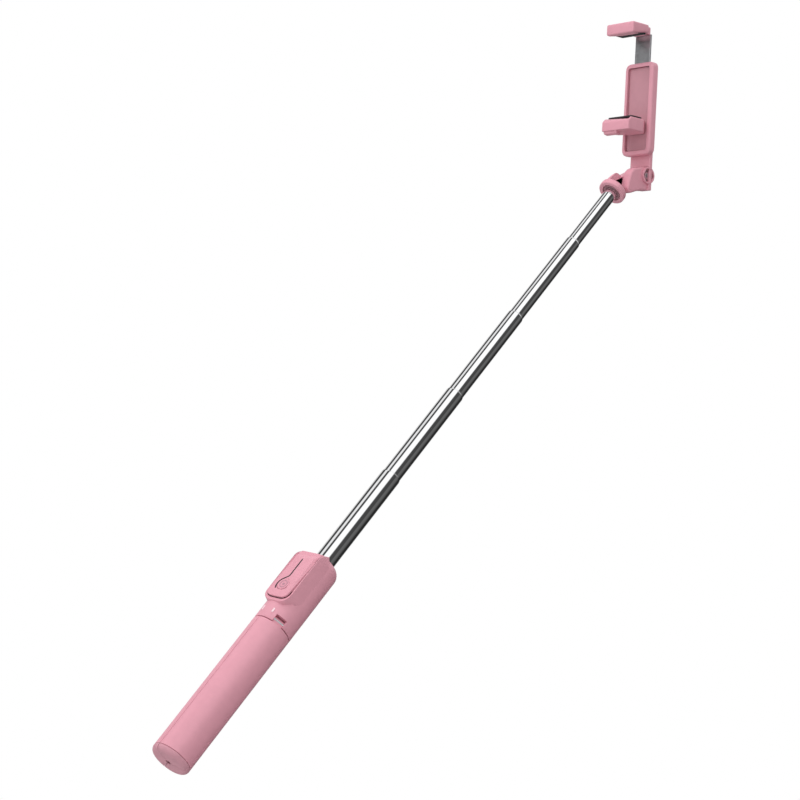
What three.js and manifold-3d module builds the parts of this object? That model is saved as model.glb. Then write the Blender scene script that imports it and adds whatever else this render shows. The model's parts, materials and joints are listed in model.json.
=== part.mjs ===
// Tripod selfie stick: a round handle that splits into three legs, a docked remote,
// a five-section telescopic pole and a tilting, sprung phone clamp.
// Millimetres, +Z up along the pole, -Y towards the side that carries the remote.
import * as THREE from 'three';
import { mergeVertices } from 'three/addons/utils/BufferGeometryUtils.js';
import Module from 'manifold-3d';

const wasm = await Module();
wasm.setup();

// ---------------------------------------------------------------- driving dimensions
// General fits
const partGap = 0.3;             // clearance between pieces that rest on or run past each other
const reach = 60;                // how far a cutting tool runs past the work

// Handle
const handleRadius = 15.8;       // outside of the closed handle
const handleLength = 195;        // bottom face to mouth
const gripHeight = 100;          // height of the middle of the hand above the bottom face
const legTop = 126.4;            // top face of the three legs
const hingeBandTop = 141;        // top of the thick band that carries the hinge pins
const housingWall = 1.9;         // wall of the housing above that band
const shoulderRadius = 8;        // rounding from the side of the housing to its mouth
const baseRounding = 3.8;        // rounding of the bottom rim

// Legs
const legCount = 3;
const legFirstAngle = -30;       // degrees, middle of the first leg
const legInnerRadius = 10.2;     // hollow inside the closed legs
const legSlit = 0.4;             // slit between two closed legs
const legFloor = 6;              // height of the solid end above the foot pad
const footHeight = 4.5;          // rubber foot pad
const footHole = 2.0;            // hole left where the three pads meet

// Leg hinges
const hingeHeight = 129.6;       // pin centre above the bottom face
const hingeInset = 2.4;          // pin centre in from the handle's surface
const hingeRadius = handleRadius - hingeInset;
const pinRadius = 0.9;
const pinHalfLength = 6.9;
const tabWidth = 8.6;            // ear of the leg that turns on the pin
const tabRadius = 2.2;
const windowTop = 133.3;         // top of the window that the ear stands in
const windowDepth = 5.4;         // window depth in from the surface

// Guide tube inside the handle
const guideWall = 0.85;
const guideBottom = 64;
const guideTop = handleLength - 0.8;

// Pole
const tubeWall = 0.33;
const tubeCount = 5;
const tubeOuterRadius = 8.12;    // first, widest tube
const tubeReach = 93.1;          // length of each section that shows when pulled out
const lastReach = 64.5;          // length of the last section that shows
const tubeOverlap = 20;          // length that stays inside the next tube
const taperLength = 1.6;         // swaged mouth of a tube
const taperDepth = 0.22;
const bushLength = 4;
const bushWall = 1.5;
const plugLength = 20;           // plug in the end of the last tube
const rivetRadius = 0.8;
const rivetProud = 0.3;
const rivetDepth = 2.2;          // how close the rivet comes to the pole axis
const rivetAngle = 50;           // degrees, turned from the front

// Remote and its dock
const remoteAngle = -82;         // degrees, direction that the remote faces
const remoteFace = 18.2;         // front face from the pole axis
const remoteBack = 12.5;         // back face from the pole axis
const remoteSplit = 15.1;        // joint between base and cover
const remoteHalfWidth = 11;
const remoteBottom = 145;
const remoteTop = handleLength - 1.5;
const remoteCorner = 7;
const remoteWall = 1.2;
const remoteTopRadius = 8.5;
const dockLip = 1.9;             // rim around the remote
const dockFace = 16.7;           // front of that rim from the pole axis
const dockFloor = 12.2;
const dockRamp = 1.2;            // how far the rim reaches on below the remote
const dockFlare = 2.6;           // how far its outline stands out past the rim
const dockSideDepth = 9.7;       // distance from the axis where its sides meet the handle
const dockSideHalf = 14.7;
const dockTopRadius = 9;         // roll at the top of the rim
const buttonHeight = 156.6;
const buttonRadius = 5.2;
const buttonProud = 0.35;
const buttonThickness = 1.7;
const grooveWidth = 0.9;
const grooveDepth = 0.7;
const grooveTop = 182.4;         // upper end of the groove
const grooveBend = 165.6;        // where it starts round the button
const grooveSide = -6.1;         // how far left it goes
const grooveEnd = [-4.6, 151.6];
const cellMargin = 1.8;          // between the cell and the remote's wall
const cellRadius = remoteHalfWidth - remoteWall - cellMargin;
const cellThickness = 2;
const boardThickness = 0.8;
const boardMargin = 1.2;         // between the board and the remote's wall
const badgeHalfWidth = 6.1;      // plain raised bar under the remote
const badgeHeight = 3.8;
const badgeMiddle = 134.6;
const badgeProud = 0.35;

// Swivel at the end of the pole
const flangeRadius = 12;
const flangeOverlap = 3.6;       // how far the last tube reaches into the hub
const lastSeat = 3.5;            // part of the last tube that stays hidden in the hub
const tubeEnd = handleLength + tubeReach * (tubeCount - 1) + lastReach + lastSeat;
const flangeBottom = tubeEnd - flangeOverlap;
const flangeThickness = 5.5;
const flangeRounding = 2.0;
const dishRadius = 8.3;
const dishDepth = 2.3;
const domeRadius = 9.2;
const domeHeight = 14.2;
const ribCount = 7;
const ribFirst = 118;            // degrees
const ribLast = 262;
const ribRadius = 1.5;
const ribLean = 0.16;             // radians that the ribs lean in
const clipRadius = 7.6;
const clipMouth = 3.2;           // gap in the snap ring

// Tilt hinge
const tiltY = 12;
const tiltRise = 37.2;           // tilt hinge above the hub's underside
const tiltZ = flangeBottom + tiltRise;
const headTilt = 42.8;           // degrees that the clamp leans forward
const knuckleRadius = 6.7;
const earFoot = 7.6;              // half width of the fixed ear where it leaves the hub
const earInner = 0.3;            // half of the gap between the two ears
const earOuter = 9.6;
const fixedEarOuter = 8.8;
const bossRadius = 7.2;
const bossFace = 11.7;
const screwRadius = 2.5;
const nutRadius = 5.75;          // across corners, half
const nutThickness = 3;
const nutRecess = 5.2;
const armHalfWidth = 11.3;
const armFront = 0.5;
const armBack = 4.3;
const armBottom = -12.6;         // lowest point of the plate and of the ear's back
const armTop = 63;               // rounded top of the plate
const earNose = -24.2;           // how far the ear reaches forwards
const earChin = -18.2;           // how far it reaches down
const pivotHeight = 54;
const pivotRadius = 1.9;
const pivotHeadRadius = 4.6;
const pivotHeadThickness = 1.6;

// Clamp, in the tilted frame of the head: y to the back, z up along the phone
const trayHalfWidth = 16.1;
const trayFront = -6.7;
const trayBack = 0.2;
const trayBottom = 17.5;
const trayTop = 98;
const trayCorner = 5;
const trayRim = 3.8;
const wellStep = 0.8;            // ledge that the cover rests on
const trayBevel = 0.9;
const trayFloor = 1.1;
const coverFront = -4.6;
const coverThickness = 1.0;
const sliderHalfWidth = 8.5;
const sliderThickness = 1.9;
const sliderBottom = 56;
const lugHeight = 2;
const lugBottom = 70;
const springRadius = 0.95;
const springX = 10.4;
const springBottom = 27;
const anchorRadius = 0.6;
const jawRight = 14;
const jawLeft = 17;              // the jaws reach further out on the left
const jawFront = -32;
const jawBack = -11.5;
const jawCorner = 2.4;
const lowerJawBottom = 35.2;
const lowerJawTop = 46.5;
const lipDrop = 3;               // finger lip under the left of the lower jaw
const lipLength = 7;
const chamferRun = 3.4;
const chamferDrop = 3.2;
const phoneHeight = 71.4;        // gap that the clamp is opened to
const padThickness = 1.4;
const upperJawThickness = 6.6;

// ---------------------------------------------------------------- derived values
const tubeStep = tubeWall + partGap;
const tubeRadii = Array.from({ length: tubeCount }, (_, i) => tubeOuterRadius - i * tubeStep);
const guideInner = tubeOuterRadius + partGap;
const guideOuter = guideInner + guideWall;
const housingBore = guideOuter + partGap;
const housingBottom = legTop + 0.7;
const flangeTop = flangeBottom + flangeThickness;
const phoneBottom = lowerJawTop + partGap + padThickness + 0.1;
const phoneTop = phoneBottom + phoneHeight;
const upperJawInner = phoneTop + 0.2 + padThickness + partGap;
const sliderFront = coverFront + coverThickness + partGap;
const deg = THREE.MathUtils.degToRad;

// ---------------------------------------------------------------- solids
function solidOf(geometry) {
  const bare = geometry.index ? geometry : geometry.clone();
  bare.deleteAttribute('normal');
  bare.deleteAttribute('uv');
  const merged = mergeVertices(bare, 1e-4);
  return new wasm.Manifold(new wasm.Mesh({
    numProp: 3,
    vertProperties: Float32Array.from(merged.attributes.position.array),
    triVerts: Uint32Array.from(merged.index.array),
  }));
}

function geometryOf(solid) {
  const mesh = solid.getMesh();
  const geometry = new THREE.BufferGeometry();
  geometry.setAttribute('position', new THREE.BufferAttribute(Float32Array.from(mesh.vertProperties), 3));
  geometry.setIndex(new THREE.BufferAttribute(Uint32Array.from(mesh.triVerts), 1));
  geometry.computeVertexNormals();
  return geometry;
}

// Solid of revolution about Z from [radius, height] pairs, closed if it doesn't touch the axis.
function turned(pairs, segments = 48) {
  const points = pairs.map(([r, z]) => new THREE.Vector2(r, z));
  if (pairs[0][0] > 0) points.push(points[0].clone());
  const geometry = new THREE.LatheGeometry(points, segments);
  geometry.rotateX(Math.PI / 2);
  const solid = solidOf(geometry);
  return solid.volume() < 0 ? solidOf(flipped(geometry)) : solid;
}

function flipped(geometry) {
  const index = geometry.index.array;
  for (let i = 0; i < index.length; i += 3) [index[i], index[i + 1]] = [index[i + 1], index[i]];
  return geometry;
}

function ring(outer, inner, low, high, segments = 48) {
  return turned([[inner, low], [outer, low], [outer, high], [inner, high]], segments);
}

function rod(radius, low, high, segments = 24) {
  return turned([[0, low], [radius, low], [radius, high], [0, high]], segments);
}

// Prism of a shape drawn in the XY plane, from z = low to z = high.
function prism(shape, low, high, steps = 8) {
  const geometry = new THREE.ExtrudeGeometry(shape, { depth: high - low, bevelEnabled: false, curveSegments: steps });
  geometry.translate(0, 0, low);
  return solidOf(geometry);
}

function block(x0, x1, y0, y1, z0, z1) {
  const geometry = new THREE.BoxGeometry(x1 - x0, y1 - y0, z1 - z0);
  geometry.translate((x0 + x1) / 2, (y0 + y1) / 2, (z0 + z1) / 2);
  return solidOf(geometry);
}

function outline(points) {
  return new THREE.Shape(points.map(([x, y]) => new THREE.Vector2(x, y)));
}

// Closed outline whose corners are rounded by the radius given with each point, which
// takes less than half of the shorter side next to it.
function rounded(points) {
  const shape = new THREE.Shape();
  points.forEach(([x, y, radius = 0], i) => {
    const here = new THREE.Vector2(x, y);
    const side = (j) => {
      const [px, py] = points[(j + points.length) % points.length];
      return new THREE.Vector2(px - x, py - y);
    };
    const cut = Math.min(radius, 0.49 * side(i - 1).length(), 0.49 * side(i + 1).length());
    const towards = (j) => side(j).setLength(cut).add(here);
    const before = radius ? towards(i - 1) : here;
    const after = radius ? towards(i + 1) : here;
    if (i === 0) shape.moveTo(before.x, before.y); else shape.lineTo(before.x, before.y);
    if (radius) shape.quadraticCurveTo(x, y, after.x, after.y);
  });
  shape.closePath();
  return shape;
}

// A prism drawn in XY and pushed along Z is laid so that its x, y, z run along a, b, c.
function laid(solid, a, b, c) {
  const matrix = new THREE.Matrix4().makeBasis(new THREE.Vector3(...a), new THREE.Vector3(...b), new THREE.Vector3(...c));
  return solidOf(geometryOf(solid).applyMatrix4(matrix));
}
const alongX = (solid) => laid(solid, [0, 1, 0], [0, 0, 1], [1, 0, 0]);
const alongY = (solid) => laid(solid, [0, 0, 1], [1, 0, 0], [0, 1, 0]);

function moved(solid, x, y, z) {
  return solid.translate([x, y, z]);
}

function turnedBy(solid, degrees) {
  return solid.rotate([0, 0, degrees]);
}

// ---------------------------------------------------------------- materials and nodes
const finish = {
  pink: { color: 0xd9a0ac, roughness: 0.42, metalness: 0 },
  chrome: { color: 0xd8dadd, roughness: 0.08, metalness: 1 },
  steel: { color: 0xa8abb0, roughness: 0.3, metalness: 1 },
  black: { color: 0x18181a, roughness: 0.5, metalness: 0 },
  rubber: { color: 0xb98c94, roughness: 0.85, metalness: 0 },
  board: { color: 0x1f5a35, roughness: 0.6, metalness: 0 },
};

const stick = new THREE.Group();
stick.position.z = -gripHeight;
const head = new THREE.Group();
head.position.set(0, tiltY, tiltZ);
head.rotation.x = deg(headTilt);
stick.add(head);

function add(name, solid, look, parent = stick) {
  const mesh = new THREE.Mesh(geometryOf(solid), new THREE.MeshStandardMaterial(finish[look]));
  mesh.name = name;
  parent.add(mesh);
  return mesh;
}

// ---------------------------------------------------------------- handle
// Wedge that holds one leg's share of the circle, less the slit on both sides.
function legWedge(low, high) {
  const half = deg(180 / legCount);
  const far = handleRadius * 3;
  const edge = legSlit / 2 / Math.sin(half);
  const points = [[edge, 0], [edge + far * Math.cos(half), -far * Math.sin(half)],
    [edge + far * Math.cos(half), far * Math.sin(half)]];
  return prism(outline(points), low, high);
}

function legAngle(i) {
  return legFirstAngle + (360 / legCount) * i;
}

// Ear at the top of a leg, drawn in the plane of the leg's swing.
function legTab() {
  const earInnerX = hingeRadius - tabRadius;
  const shape = rounded([[earInnerX, legTop - 6], [handleRadius, legTop - 6], [handleRadius, hingeHeight, 1.6],
    [hingeRadius + 0.6, hingeHeight + tabRadius, 1.6], [earInnerX, hingeHeight + tabRadius, 1.9]]);
  const slab = laid(prism(shape, -tabWidth / 2, tabWidth / 2, 6), [1, 0, 0], [0, 0, 1], [0, -1, 0]);
  return slab.intersect(rod(handleRadius, legTop - 8, windowTop, 48));
}

function leg() {
  const profile = [[legInnerRadius, legFloor], [legInnerRadius, legTop], [handleRadius, legTop],
    [handleRadius, footHeight + partGap], [footHole, footHeight + partGap], [footHole, legFloor]];
  const pinHole = laid(prism(circle(pinRadius + partGap, 12), -reach, reach), [1, 0, 0], [0, 0, 1], [0, -1, 0]);
  return turned(profile, 48)
    .intersect(legWedge(0, handleLength))
    .add(legTab())
    .subtract(moved(pinHole, hingeRadius, 0, hingeHeight));
}

function circle(radius, count = 24) {
  return outline(Array.from({ length: count }, (_, i) => {
    const angle = (2 * Math.PI * i) / count;
    return [radius * Math.cos(angle), radius * Math.sin(angle)];
  }));
}

function foot() {
  const arc = Array.from({ length: 6 }, (_, i) => {
    const angle = deg((90 * i) / 5);
    return [handleRadius - baseRounding + baseRounding * Math.sin(angle), baseRounding * (1 - Math.cos(angle))];
  });
  return turned([[footHole, 0], ...arc, [handleRadius, footHeight], [footHole, footHeight]], 48)
    .intersect(legWedge(-1, handleLength));
}

// Slab with the remote's outline seen from the front, grown by a margin, between two
// distances from the pole axis.
function remoteSlab(margin, near, far) {
  const x = remoteHalfWidth + margin;
  const corner = remoteCorner + margin;
  const shape = rounded([[-x, remoteBottom - margin, corner], [x, remoteBottom - margin, corner],
    [x, remoteTop + margin, 3], [-x, remoteTop + margin, 3]]);
  return laid(prism(shape, near, far, 6), [1, 0, 0], [0, 0, 1], [0, -1, 0]);
}

// Side view of the remote or its rim: flat face with a top that rounds back to the shoulder.
function remoteProfile(face, low, high, radius) {
  const points = [[0, low], [face, low], [face, high - radius]];
  for (let i = 1; i <= 6; i += 1) {
    const angle = deg(15 * i);
    points.push([face - radius * (1 - Math.cos(angle)), high - radius * (1 - Math.sin(angle))]);
  }
  points.push([0, high]);
  return laid(prism(outline(points), -reach, reach), [0, -1, 0], [0, 0, 1], [-1, 0, 0]);
}

function shoulder(radius) {
  const points = [];
  for (let i = 0; i <= 6; i += 1) {
    const angle = deg(15 * i);
    points.push([radius - shoulderRadius * (1 - Math.cos(angle)),
      handleLength - shoulderRadius * (1 - Math.sin(angle))]);
  }
  return points;
}

function upperHousing() {
  const inner = handleRadius - housingWall;
  const shell = turned([[0, housingBottom], [handleRadius, housingBottom], ...shoulder(handleRadius),
    [0, handleLength]], 48);
  const hollow = rod(inner, hingeBandTop, handleLength - shoulderRadius, 32);
  const ramp = outline([[-remoteHalfWidth - dockLip, -dockFace], [remoteHalfWidth + dockLip, -dockFace],
    [dockSideHalf, -dockSideDepth], [0, 0], [-dockSideHalf, -dockSideDepth]]);
  const dockBottom = remoteBottom - dockLip - dockRamp;
  const dock = prism(ramp, dockBottom, handleLength)
    .intersect(remoteProfile(dockFace, dockBottom, handleLength - 1, dockTopRadius))
    .intersect(remoteSlab(dockLip + dockFlare, 0, dockFace + 1));
  const bore = rod(housingBore, 0, handleLength + 1, 32);
  const pocket = remoteSlab(partGap, dockFloor, reach)
    .add(block(-remoteHalfWidth - partGap, remoteHalfWidth + partGap, -reach, -dockFloor, remoteTop - 5, handleLength + 5));
  const pinHole = laid(prism(circle(pinRadius + partGap, 12), -pinHalfLength - partGap, pinHalfLength + partGap),
    [1, 0, 0], [0, 0, 1], [0, -1, 0]);
  let solid = shell.subtract(hollow).add(turnedBy(dock, remoteAngle + 90)).subtract(bore)
    .subtract(turnedBy(pocket, remoteAngle + 90));
  for (let i = 0; i < legCount; i += 1) {
    const opening = block(handleRadius - windowDepth, reach, -tabWidth / 2 - 0.35, tabWidth / 2 + 0.35,
      housingBottom - 1, windowTop);
    solid = solid.subtract(turnedBy(opening, legAngle(i)))
      .subtract(turnedBy(moved(pinHole, hingeRadius, 0, hingeHeight), legAngle(i)));
  }
  return solid;
}

function badge() {
  const grown = ring(handleRadius + badgeProud, handleRadius + 0.05, badgeMiddle - badgeHeight / 2,
    badgeMiddle + badgeHeight / 2, 96);
  const slab = block(-badgeHalfWidth, badgeHalfWidth, -reach, 0, 0, handleLength);
  return turnedBy(grown.intersect(slab), remoteAngle + 90);
}

add('upper_housing', upperHousing(), 'pink');
add('guide_tube', ring(guideOuter, guideInner, guideBottom, guideTop, 32), 'black');
add('front_bar', badge(), 'pink');
for (let i = 0; i < legCount; i += 1) {
  const pin = laid(prism(circle(pinRadius, 12), -pinHalfLength, pinHalfLength), [1, 0, 0], [0, 0, 1], [0, -1, 0]);
  add(`hinge_pin_${i + 1}`, turnedBy(moved(pin, hingeRadius, 0, hingeHeight), legAngle(i)), 'steel');
  add(`leg_${i + 1}`, turnedBy(leg(), legAngle(i)), 'pink');
  add(`foot_pad_${i + 1}`, turnedBy(foot(), legAngle(i)), 'rubber');
}

// ---------------------------------------------------------------- remote
function remoteBody(near, far) {
  return remoteSlab(0, near, far).intersect(remoteProfile(remoteFace, remoteBottom, remoteTop, remoteTopRadius));
}

function onRemote(shape, near, far, steps = 8) {
  return laid(prism(shape, near, far, steps), [1, 0, 0], [0, 0, 1], [0, -1, 0]);
}

// Line of the groove: straight down the middle, then round the left of the button.
function groovePath() {
  const path = new THREE.CurvePath();
  const bend = new THREE.Vector2(-0.3, grooveBend);
  path.add(new THREE.LineCurve(new THREE.Vector2(-0.3, grooveTop), bend));
  path.add(new THREE.CubicBezierCurve(bend, new THREE.Vector2(-0.6, 163), new THREE.Vector2(-5.9, 161.5),
    new THREE.Vector2(grooveSide, buttonHeight - 0.2)));
  path.add(new THREE.QuadraticBezierCurve(new THREE.Vector2(grooveSide, buttonHeight - 0.2),
    new THREE.Vector2(grooveSide, buttonHeight - 3), new THREE.Vector2(...grooveEnd)));
  return path;
}

function grooveShape(width) {
  const points = [];
  groovePath().curves.forEach((curve, k) => {
    const count = k === 0 ? 1 : 6;
    for (let i = k === 0 ? 0 : 1; i <= count; i += 1) {
      const at = curve.getPoint(i / count);
      const along = curve.getTangent(i / count);
      points.push([at, new THREE.Vector2(-along.y, along.x)]);
    }
  });
  const left = points.map(([p, n]) => [p.x + (n.x * width) / 2, p.y + (n.y * width) / 2]);
  const right = points.map(([p, n]) => [p.x - (n.x * width) / 2, p.y - (n.y * width) / 2]).reverse();
  return outline([...left, ...right]);
}

const remoteInnerHalf = remoteHalfWidth - remoteWall;
const innerOutline = rounded([[-remoteInnerHalf, remoteBottom + remoteWall, remoteCorner - remoteWall],
  [remoteInnerHalf, remoteBottom + remoteWall, remoteCorner - remoteWall],
  [remoteInnerHalf, remoteTop - 5.4, 2], [-remoteInnerHalf, remoteTop - 5.4, 2]]);
const coverInside = remoteFace - 1.5;
const baseInside = remoteBack + 0.9;
const buttonAt = (radius, count = 28) => {
  const shape = outline(Array.from({ length: count }, (_, i) => {
    const angle = (2 * Math.PI * i) / count;
    return [radius * Math.cos(angle), buttonHeight + radius * Math.sin(angle)];
  }));
  return shape;
};

function remoteCover() {
  return remoteBody(remoteSplit + partGap, remoteFace + 1)
    .subtract(onRemote(innerOutline, 0, coverInside))
    .subtract(onRemote(buttonAt(buttonRadius + partGap), 0, reach))
    .subtract(onRemote(grooveShape(grooveWidth), remoteFace - grooveDepth, reach));
}

function remoteBase() {
  return remoteBody(remoteBack, remoteSplit).subtract(onRemote(innerOutline, baseInside, reach));
}

const boardBack = baseInside + partGap;
const boardFront = boardBack + boardThickness;
const buttonBack = remoteFace + buttonProud - buttonThickness;
const boardHalf = remoteInnerHalf - boardMargin;
const boardShape = rounded([[-boardHalf, remoteBottom + 2.2, 5], [boardHalf, remoteBottom + 2.2, 5],
  [boardHalf, remoteTop - 24.4, 0.6], [-boardHalf, remoteTop - 24.4, 0.6]]);
const cellHeight = remoteTop - 15;
const cellBack = baseInside + partGap;
const remotePieces = [
  ['remote_cover', remoteCover(), 'pink'],
  ['remote_base', remoteBase(), 'pink'],
  ['groove_strip', onRemote(grooveShape(grooveWidth - 0.2), remoteFace - grooveDepth + 0.1, remoteFace - 0.15), 'black'],
  ['remote_board', onRemote(boardShape, boardBack, boardFront), 'board'],
  ['tact_switch', moved(block(-3, 3, -boardFront - partGap - 0.7, -boardFront - partGap, -3, 3)
    .add(laid(prism(circle(1.6, 12), boardFront + 0.9, buttonBack - 0.75), [1, 0, 0], [0, 0, 1], [0, -1, 0])),
  0, 0, buttonHeight), 'steel'],
  ['coin_cell', moved(laid(prism(circle(cellRadius, 32), cellBack, cellBack + cellThickness),
    [1, 0, 0], [0, 0, 1], [0, -1, 0]), 0, 0, cellHeight), 'steel'],
  ['shutter_button', onRemote(buttonAt(buttonRadius), buttonBack, remoteFace + buttonProud), 'pink'],
];
remotePieces.forEach(([name, solid, look]) => add(name, turnedBy(solid, remoteAngle + 90), look));

// ---------------------------------------------------------------- pole
// The end plug is held by a rivet that goes in from the side of the last tube.
const endTube = tubeRadii[tubeCount - 1];
const rivetHeight = flangeBottom - 4.6;
const alongRivet = (solid) => turnedBy(moved(alongY(solid), 0, 0, rivetHeight), rivetAngle);
const rivetHole = (radius) => alongRivet(prism(circle(radius, 12), -reach, 0));
let tubeFoot = handleLength - tubeOverlap;
for (let i = 0; i < tubeCount; i += 1) {
  const outer = tubeRadii[i];
  const inner = outer - tubeWall;
  const last = i === tubeCount - 1;
  const top = tubeFoot + tubeOverlap + (last ? lastReach + lastSeat : tubeReach);
  const mouth = last ? [[outer, top]] : [[outer, top - taperLength], [outer - taperDepth, top]];
  const tube = turned([[inner, tubeFoot], [outer, tubeFoot], ...mouth, [inner, top]], 32);
  add(`tube_${i + 1}`, last ? tube.subtract(rivetHole(rivetRadius + partGap)) : tube, 'chrome');
  const bushOuter = i === 0 ? guideInner - partGap / 2 : tubeRadii[i - 1] - tubeWall - partGap / 2;
  add(`slide_bush_${i + 1}`, ring(bushOuter, inner - bushWall, tubeFoot - partGap - bushLength, tubeFoot - partGap, 24),
    'black');
  tubeFoot += tubeReach;
}

// ---------------------------------------------------------------- swivel

// Left half of the hub rises as a ribbed dome and carries the fixed ear of the tilt hinge.
function swivelHub() {
  const flange = turned([[0, flangeBottom], [flangeRadius - 0.8, flangeBottom], [flangeRadius, flangeBottom + 0.8],
    [flangeRadius, flangeTop - flangeRounding], [flangeRadius - 0.6, flangeTop - 0.6],
    [flangeRadius - flangeRounding, flangeTop], [0, flangeTop]], 40);
  const domeTop = flangeTop + domeHeight;
  const dome = turned([[0, flangeTop - 1], [domeRadius, flangeTop - 1], [domeRadius, flangeTop + domeHeight * 0.55],
    [domeRadius * 0.86, flangeTop + domeHeight * 0.83], [domeRadius * 0.55, domeTop], [0, domeTop]], 32);
  let knob = dome;
  for (let i = 0; i < ribCount; i += 1) {
    const angle = deg(ribFirst + ((ribLast - ribFirst) * i) / (ribCount - 1));
    const rib = turned([[0, 0], [ribRadius, 0], [ribRadius, domeHeight * 0.8], [ribRadius * 0.8, domeHeight * 0.95],
      [0, domeHeight * 1.12]], 10);
    const base = new THREE.Matrix4().makeTranslation(domeRadius * Math.cos(angle), domeRadius * Math.sin(angle), flangeTop - 1);
    base.multiply(new THREE.Matrix4().makeRotationAxis(new THREE.Vector3(-Math.sin(angle), Math.cos(angle), 0), -ribLean));
    knob = knob.add(solidOf(geometryOf(rib).applyMatrix4(base)));
  }
  const root = new THREE.Vector2(0, flangeTop);
  const axis = new THREE.Vector2(tiltY, tiltZ);
  const across = axis.clone().sub(root).normalize().rotateAround(new THREE.Vector2(), -Math.PI / 2)
    .multiplyScalar(knuckleRadius);
  const stem = outline([[-earFoot, flangeTop - 1], [earFoot, flangeTop - 1], [axis.x + across.x, axis.y + across.y],
    [axis.x - across.x, axis.y - across.y]]);
  const earSolid = alongX(prism(stem, -fixedEarOuter, -earInner))
    .add(moved(alongX(prism(circle(knuckleRadius, 36), -fixedEarOuter, -earInner)), 0, tiltY, tiltZ));
  const left = block(-reach, -earInner, -reach, reach, flangeTop - 2, tiltZ + 20);
  return flange
    .add(knob.add(earSolid).intersect(left))
    .subtract(rod(endTube + partGap, 0, tubeEnd + partGap, 32))
    .subtract(rod(dishRadius, 0, flangeBottom + dishDepth, 32))
    .subtract(moved(alongX(prism(circle(screwRadius + partGap), -reach, reach)), 0, tiltY, tiltZ));
}

function swivelClip() {
  const whole = ring(clipRadius, endTube + partGap, flangeBottom + 0.5, flangeBottom + dishDepth - partGap, 24);
  return whole.subtract(block(-clipMouth / 2, clipMouth / 2, 0, reach, 0, tubeEnd));
}

add('swivel_hub', swivelHub(), 'pink');
add('swivel_clip', swivelClip(), 'black');
add('end_rivet', alongRivet(prism(circle(rivetRadius, 12), -endTube - rivetProud, -rivetDepth)), 'steel');
const plugRadius = endTube - tubeWall - partGap;
add('end_plug', rod(plugRadius, tubeEnd - plugLength, tubeEnd - partGap).subtract(rivetHole(rivetRadius + partGap)),
  'black');
// ---------------------------------------------------------------- tilting arm
// Right ear and back plate, in the frame of the head with the hinge axis at its origin.
function neckArm() {
  const earShape = rounded([[armBack, armBottom, 1], [armBack, bossRadius, 2], [-4, bossRadius, 1], [-16.6, 4.4, 3],
    [-20.2, 0.6, 3], [earNose, -14.6, 1.5], [-22.4, -17.4, 1.5], [-19, earChin, 2], [-8, -13.4, 3]]);
  const ear = alongX(prism(earShape, earInner, earOuter, 6));
  const boss = alongX(prism(circle(bossRadius, 36), earInner, bossFace));
  const side = armHalfWidth;
  const plate = alongY(prism(rounded([[bossRadius + 0.1, -side, 0.8], [armTop, -side, 8],
    [armTop, side, 8], [bossRadius + 0.1, side, 0.8]]), armFront, armBack, 6));
  const tail = block(earInner, side, armFront, armBack, armBottom, bossRadius + 1);
  const clearance = alongX(prism(circle(knuckleRadius + partGap, 32), -reach, earInner));
  const bore = alongX(prism(circle(screwRadius + partGap), -reach, reach));
  const hex = alongX(prism(circle(nutRadius + partGap, 6), bossFace - nutRecess, reach));
  const pivotBore = moved(alongY(prism(circle(pivotRadius + partGap), -reach, reach)), 0, 0, pivotHeight);
  return plate.add(ear).add(boss).add(tail).subtract(clearance).subtract(bore).subtract(hex).subtract(pivotBore);
}

function hingeScrew() {
  const headLeft = -fixedEarOuter - partGap;
  return alongX(prism(circle(screwRadius), headLeft - 0.2, bossFace - nutRecess + nutThickness + partGap))
    .add(alongX(prism(circle(4.6, 28), headLeft - 2.6, headLeft)));
}

function hingeNut() {
  const low = bossFace - nutRecess + partGap;
  return alongX(prism(circle(nutRadius, 6), low, low + nutThickness))
    .subtract(alongX(prism(circle(screwRadius + partGap), -reach, reach)));
}

function turnPivot() {
  const shank = alongY(prism(circle(pivotRadius), trayBack - trayFloor + 0.1, armBack + partGap + 0.5));
  const cap = alongY(prism(circle(pivotHeadRadius, 32), armBack + partGap, armBack + partGap + pivotHeadThickness));
  return moved(shank.add(cap), 0, 0, pivotHeight);
}

add('neck_arm', neckArm(), 'pink', head);
add('hinge_screw', hingeScrew(), 'steel', head);
add('hinge_nut', hingeNut(), 'steel', head);
add('turn_pivot', turnPivot(), 'steel', head);

// ---------------------------------------------------------------- clamp
// Outline seen from the front, drawn with z first so that alongY lays it upright.
function frontPlate(x, low, high, corner, y0, y1) {
  return alongY(prism(rounded([[low, -x, corner], [high, -x, corner], [high, x, corner], [low, x, corner]]), y0, y1, 6));
}

function clampTray() {
  const bevel = trayBevel;
  const body = frontPlate(trayHalfWidth, trayBottom, trayTop, trayCorner, trayFront + bevel, trayBack)
    .add(frontPlate(trayHalfWidth - bevel, trayBottom + bevel, trayTop - bevel, trayCorner - bevel, trayFront, trayBack));
  const x = trayHalfWidth - trayRim;
  const recess = frontPlate(x, trayBottom + trayRim, trayTop - trayRim, 2, -reach, coverFront + coverThickness + partGap);
  const well = frontPlate(x - wellStep, trayBottom + trayRim + wellStep, trayTop - trayRim - wellStep, 1.4, -reach, trayBack - trayFloor);
  const mouth = block(-sliderHalfWidth - partGap, sliderHalfWidth + partGap, sliderFront - partGap, trayBack - trayFloor,
    trayTop - trayRim - 3, trayTop + 5);
  const pivotHole = moved(alongY(prism(circle(pivotRadius + partGap), -reach, reach)), 0, 0, pivotHeight);
  return body.subtract(recess).subtract(well).subtract(mouth).subtract(pivotHole);
}

function clampCover() {
  const x = trayHalfWidth - trayRim - partGap;
  return frontPlate(x, trayBottom + trayRim + partGap, trayTop - trayRim - partGap, 1.8,
    coverFront, coverFront + coverThickness);
}

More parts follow.
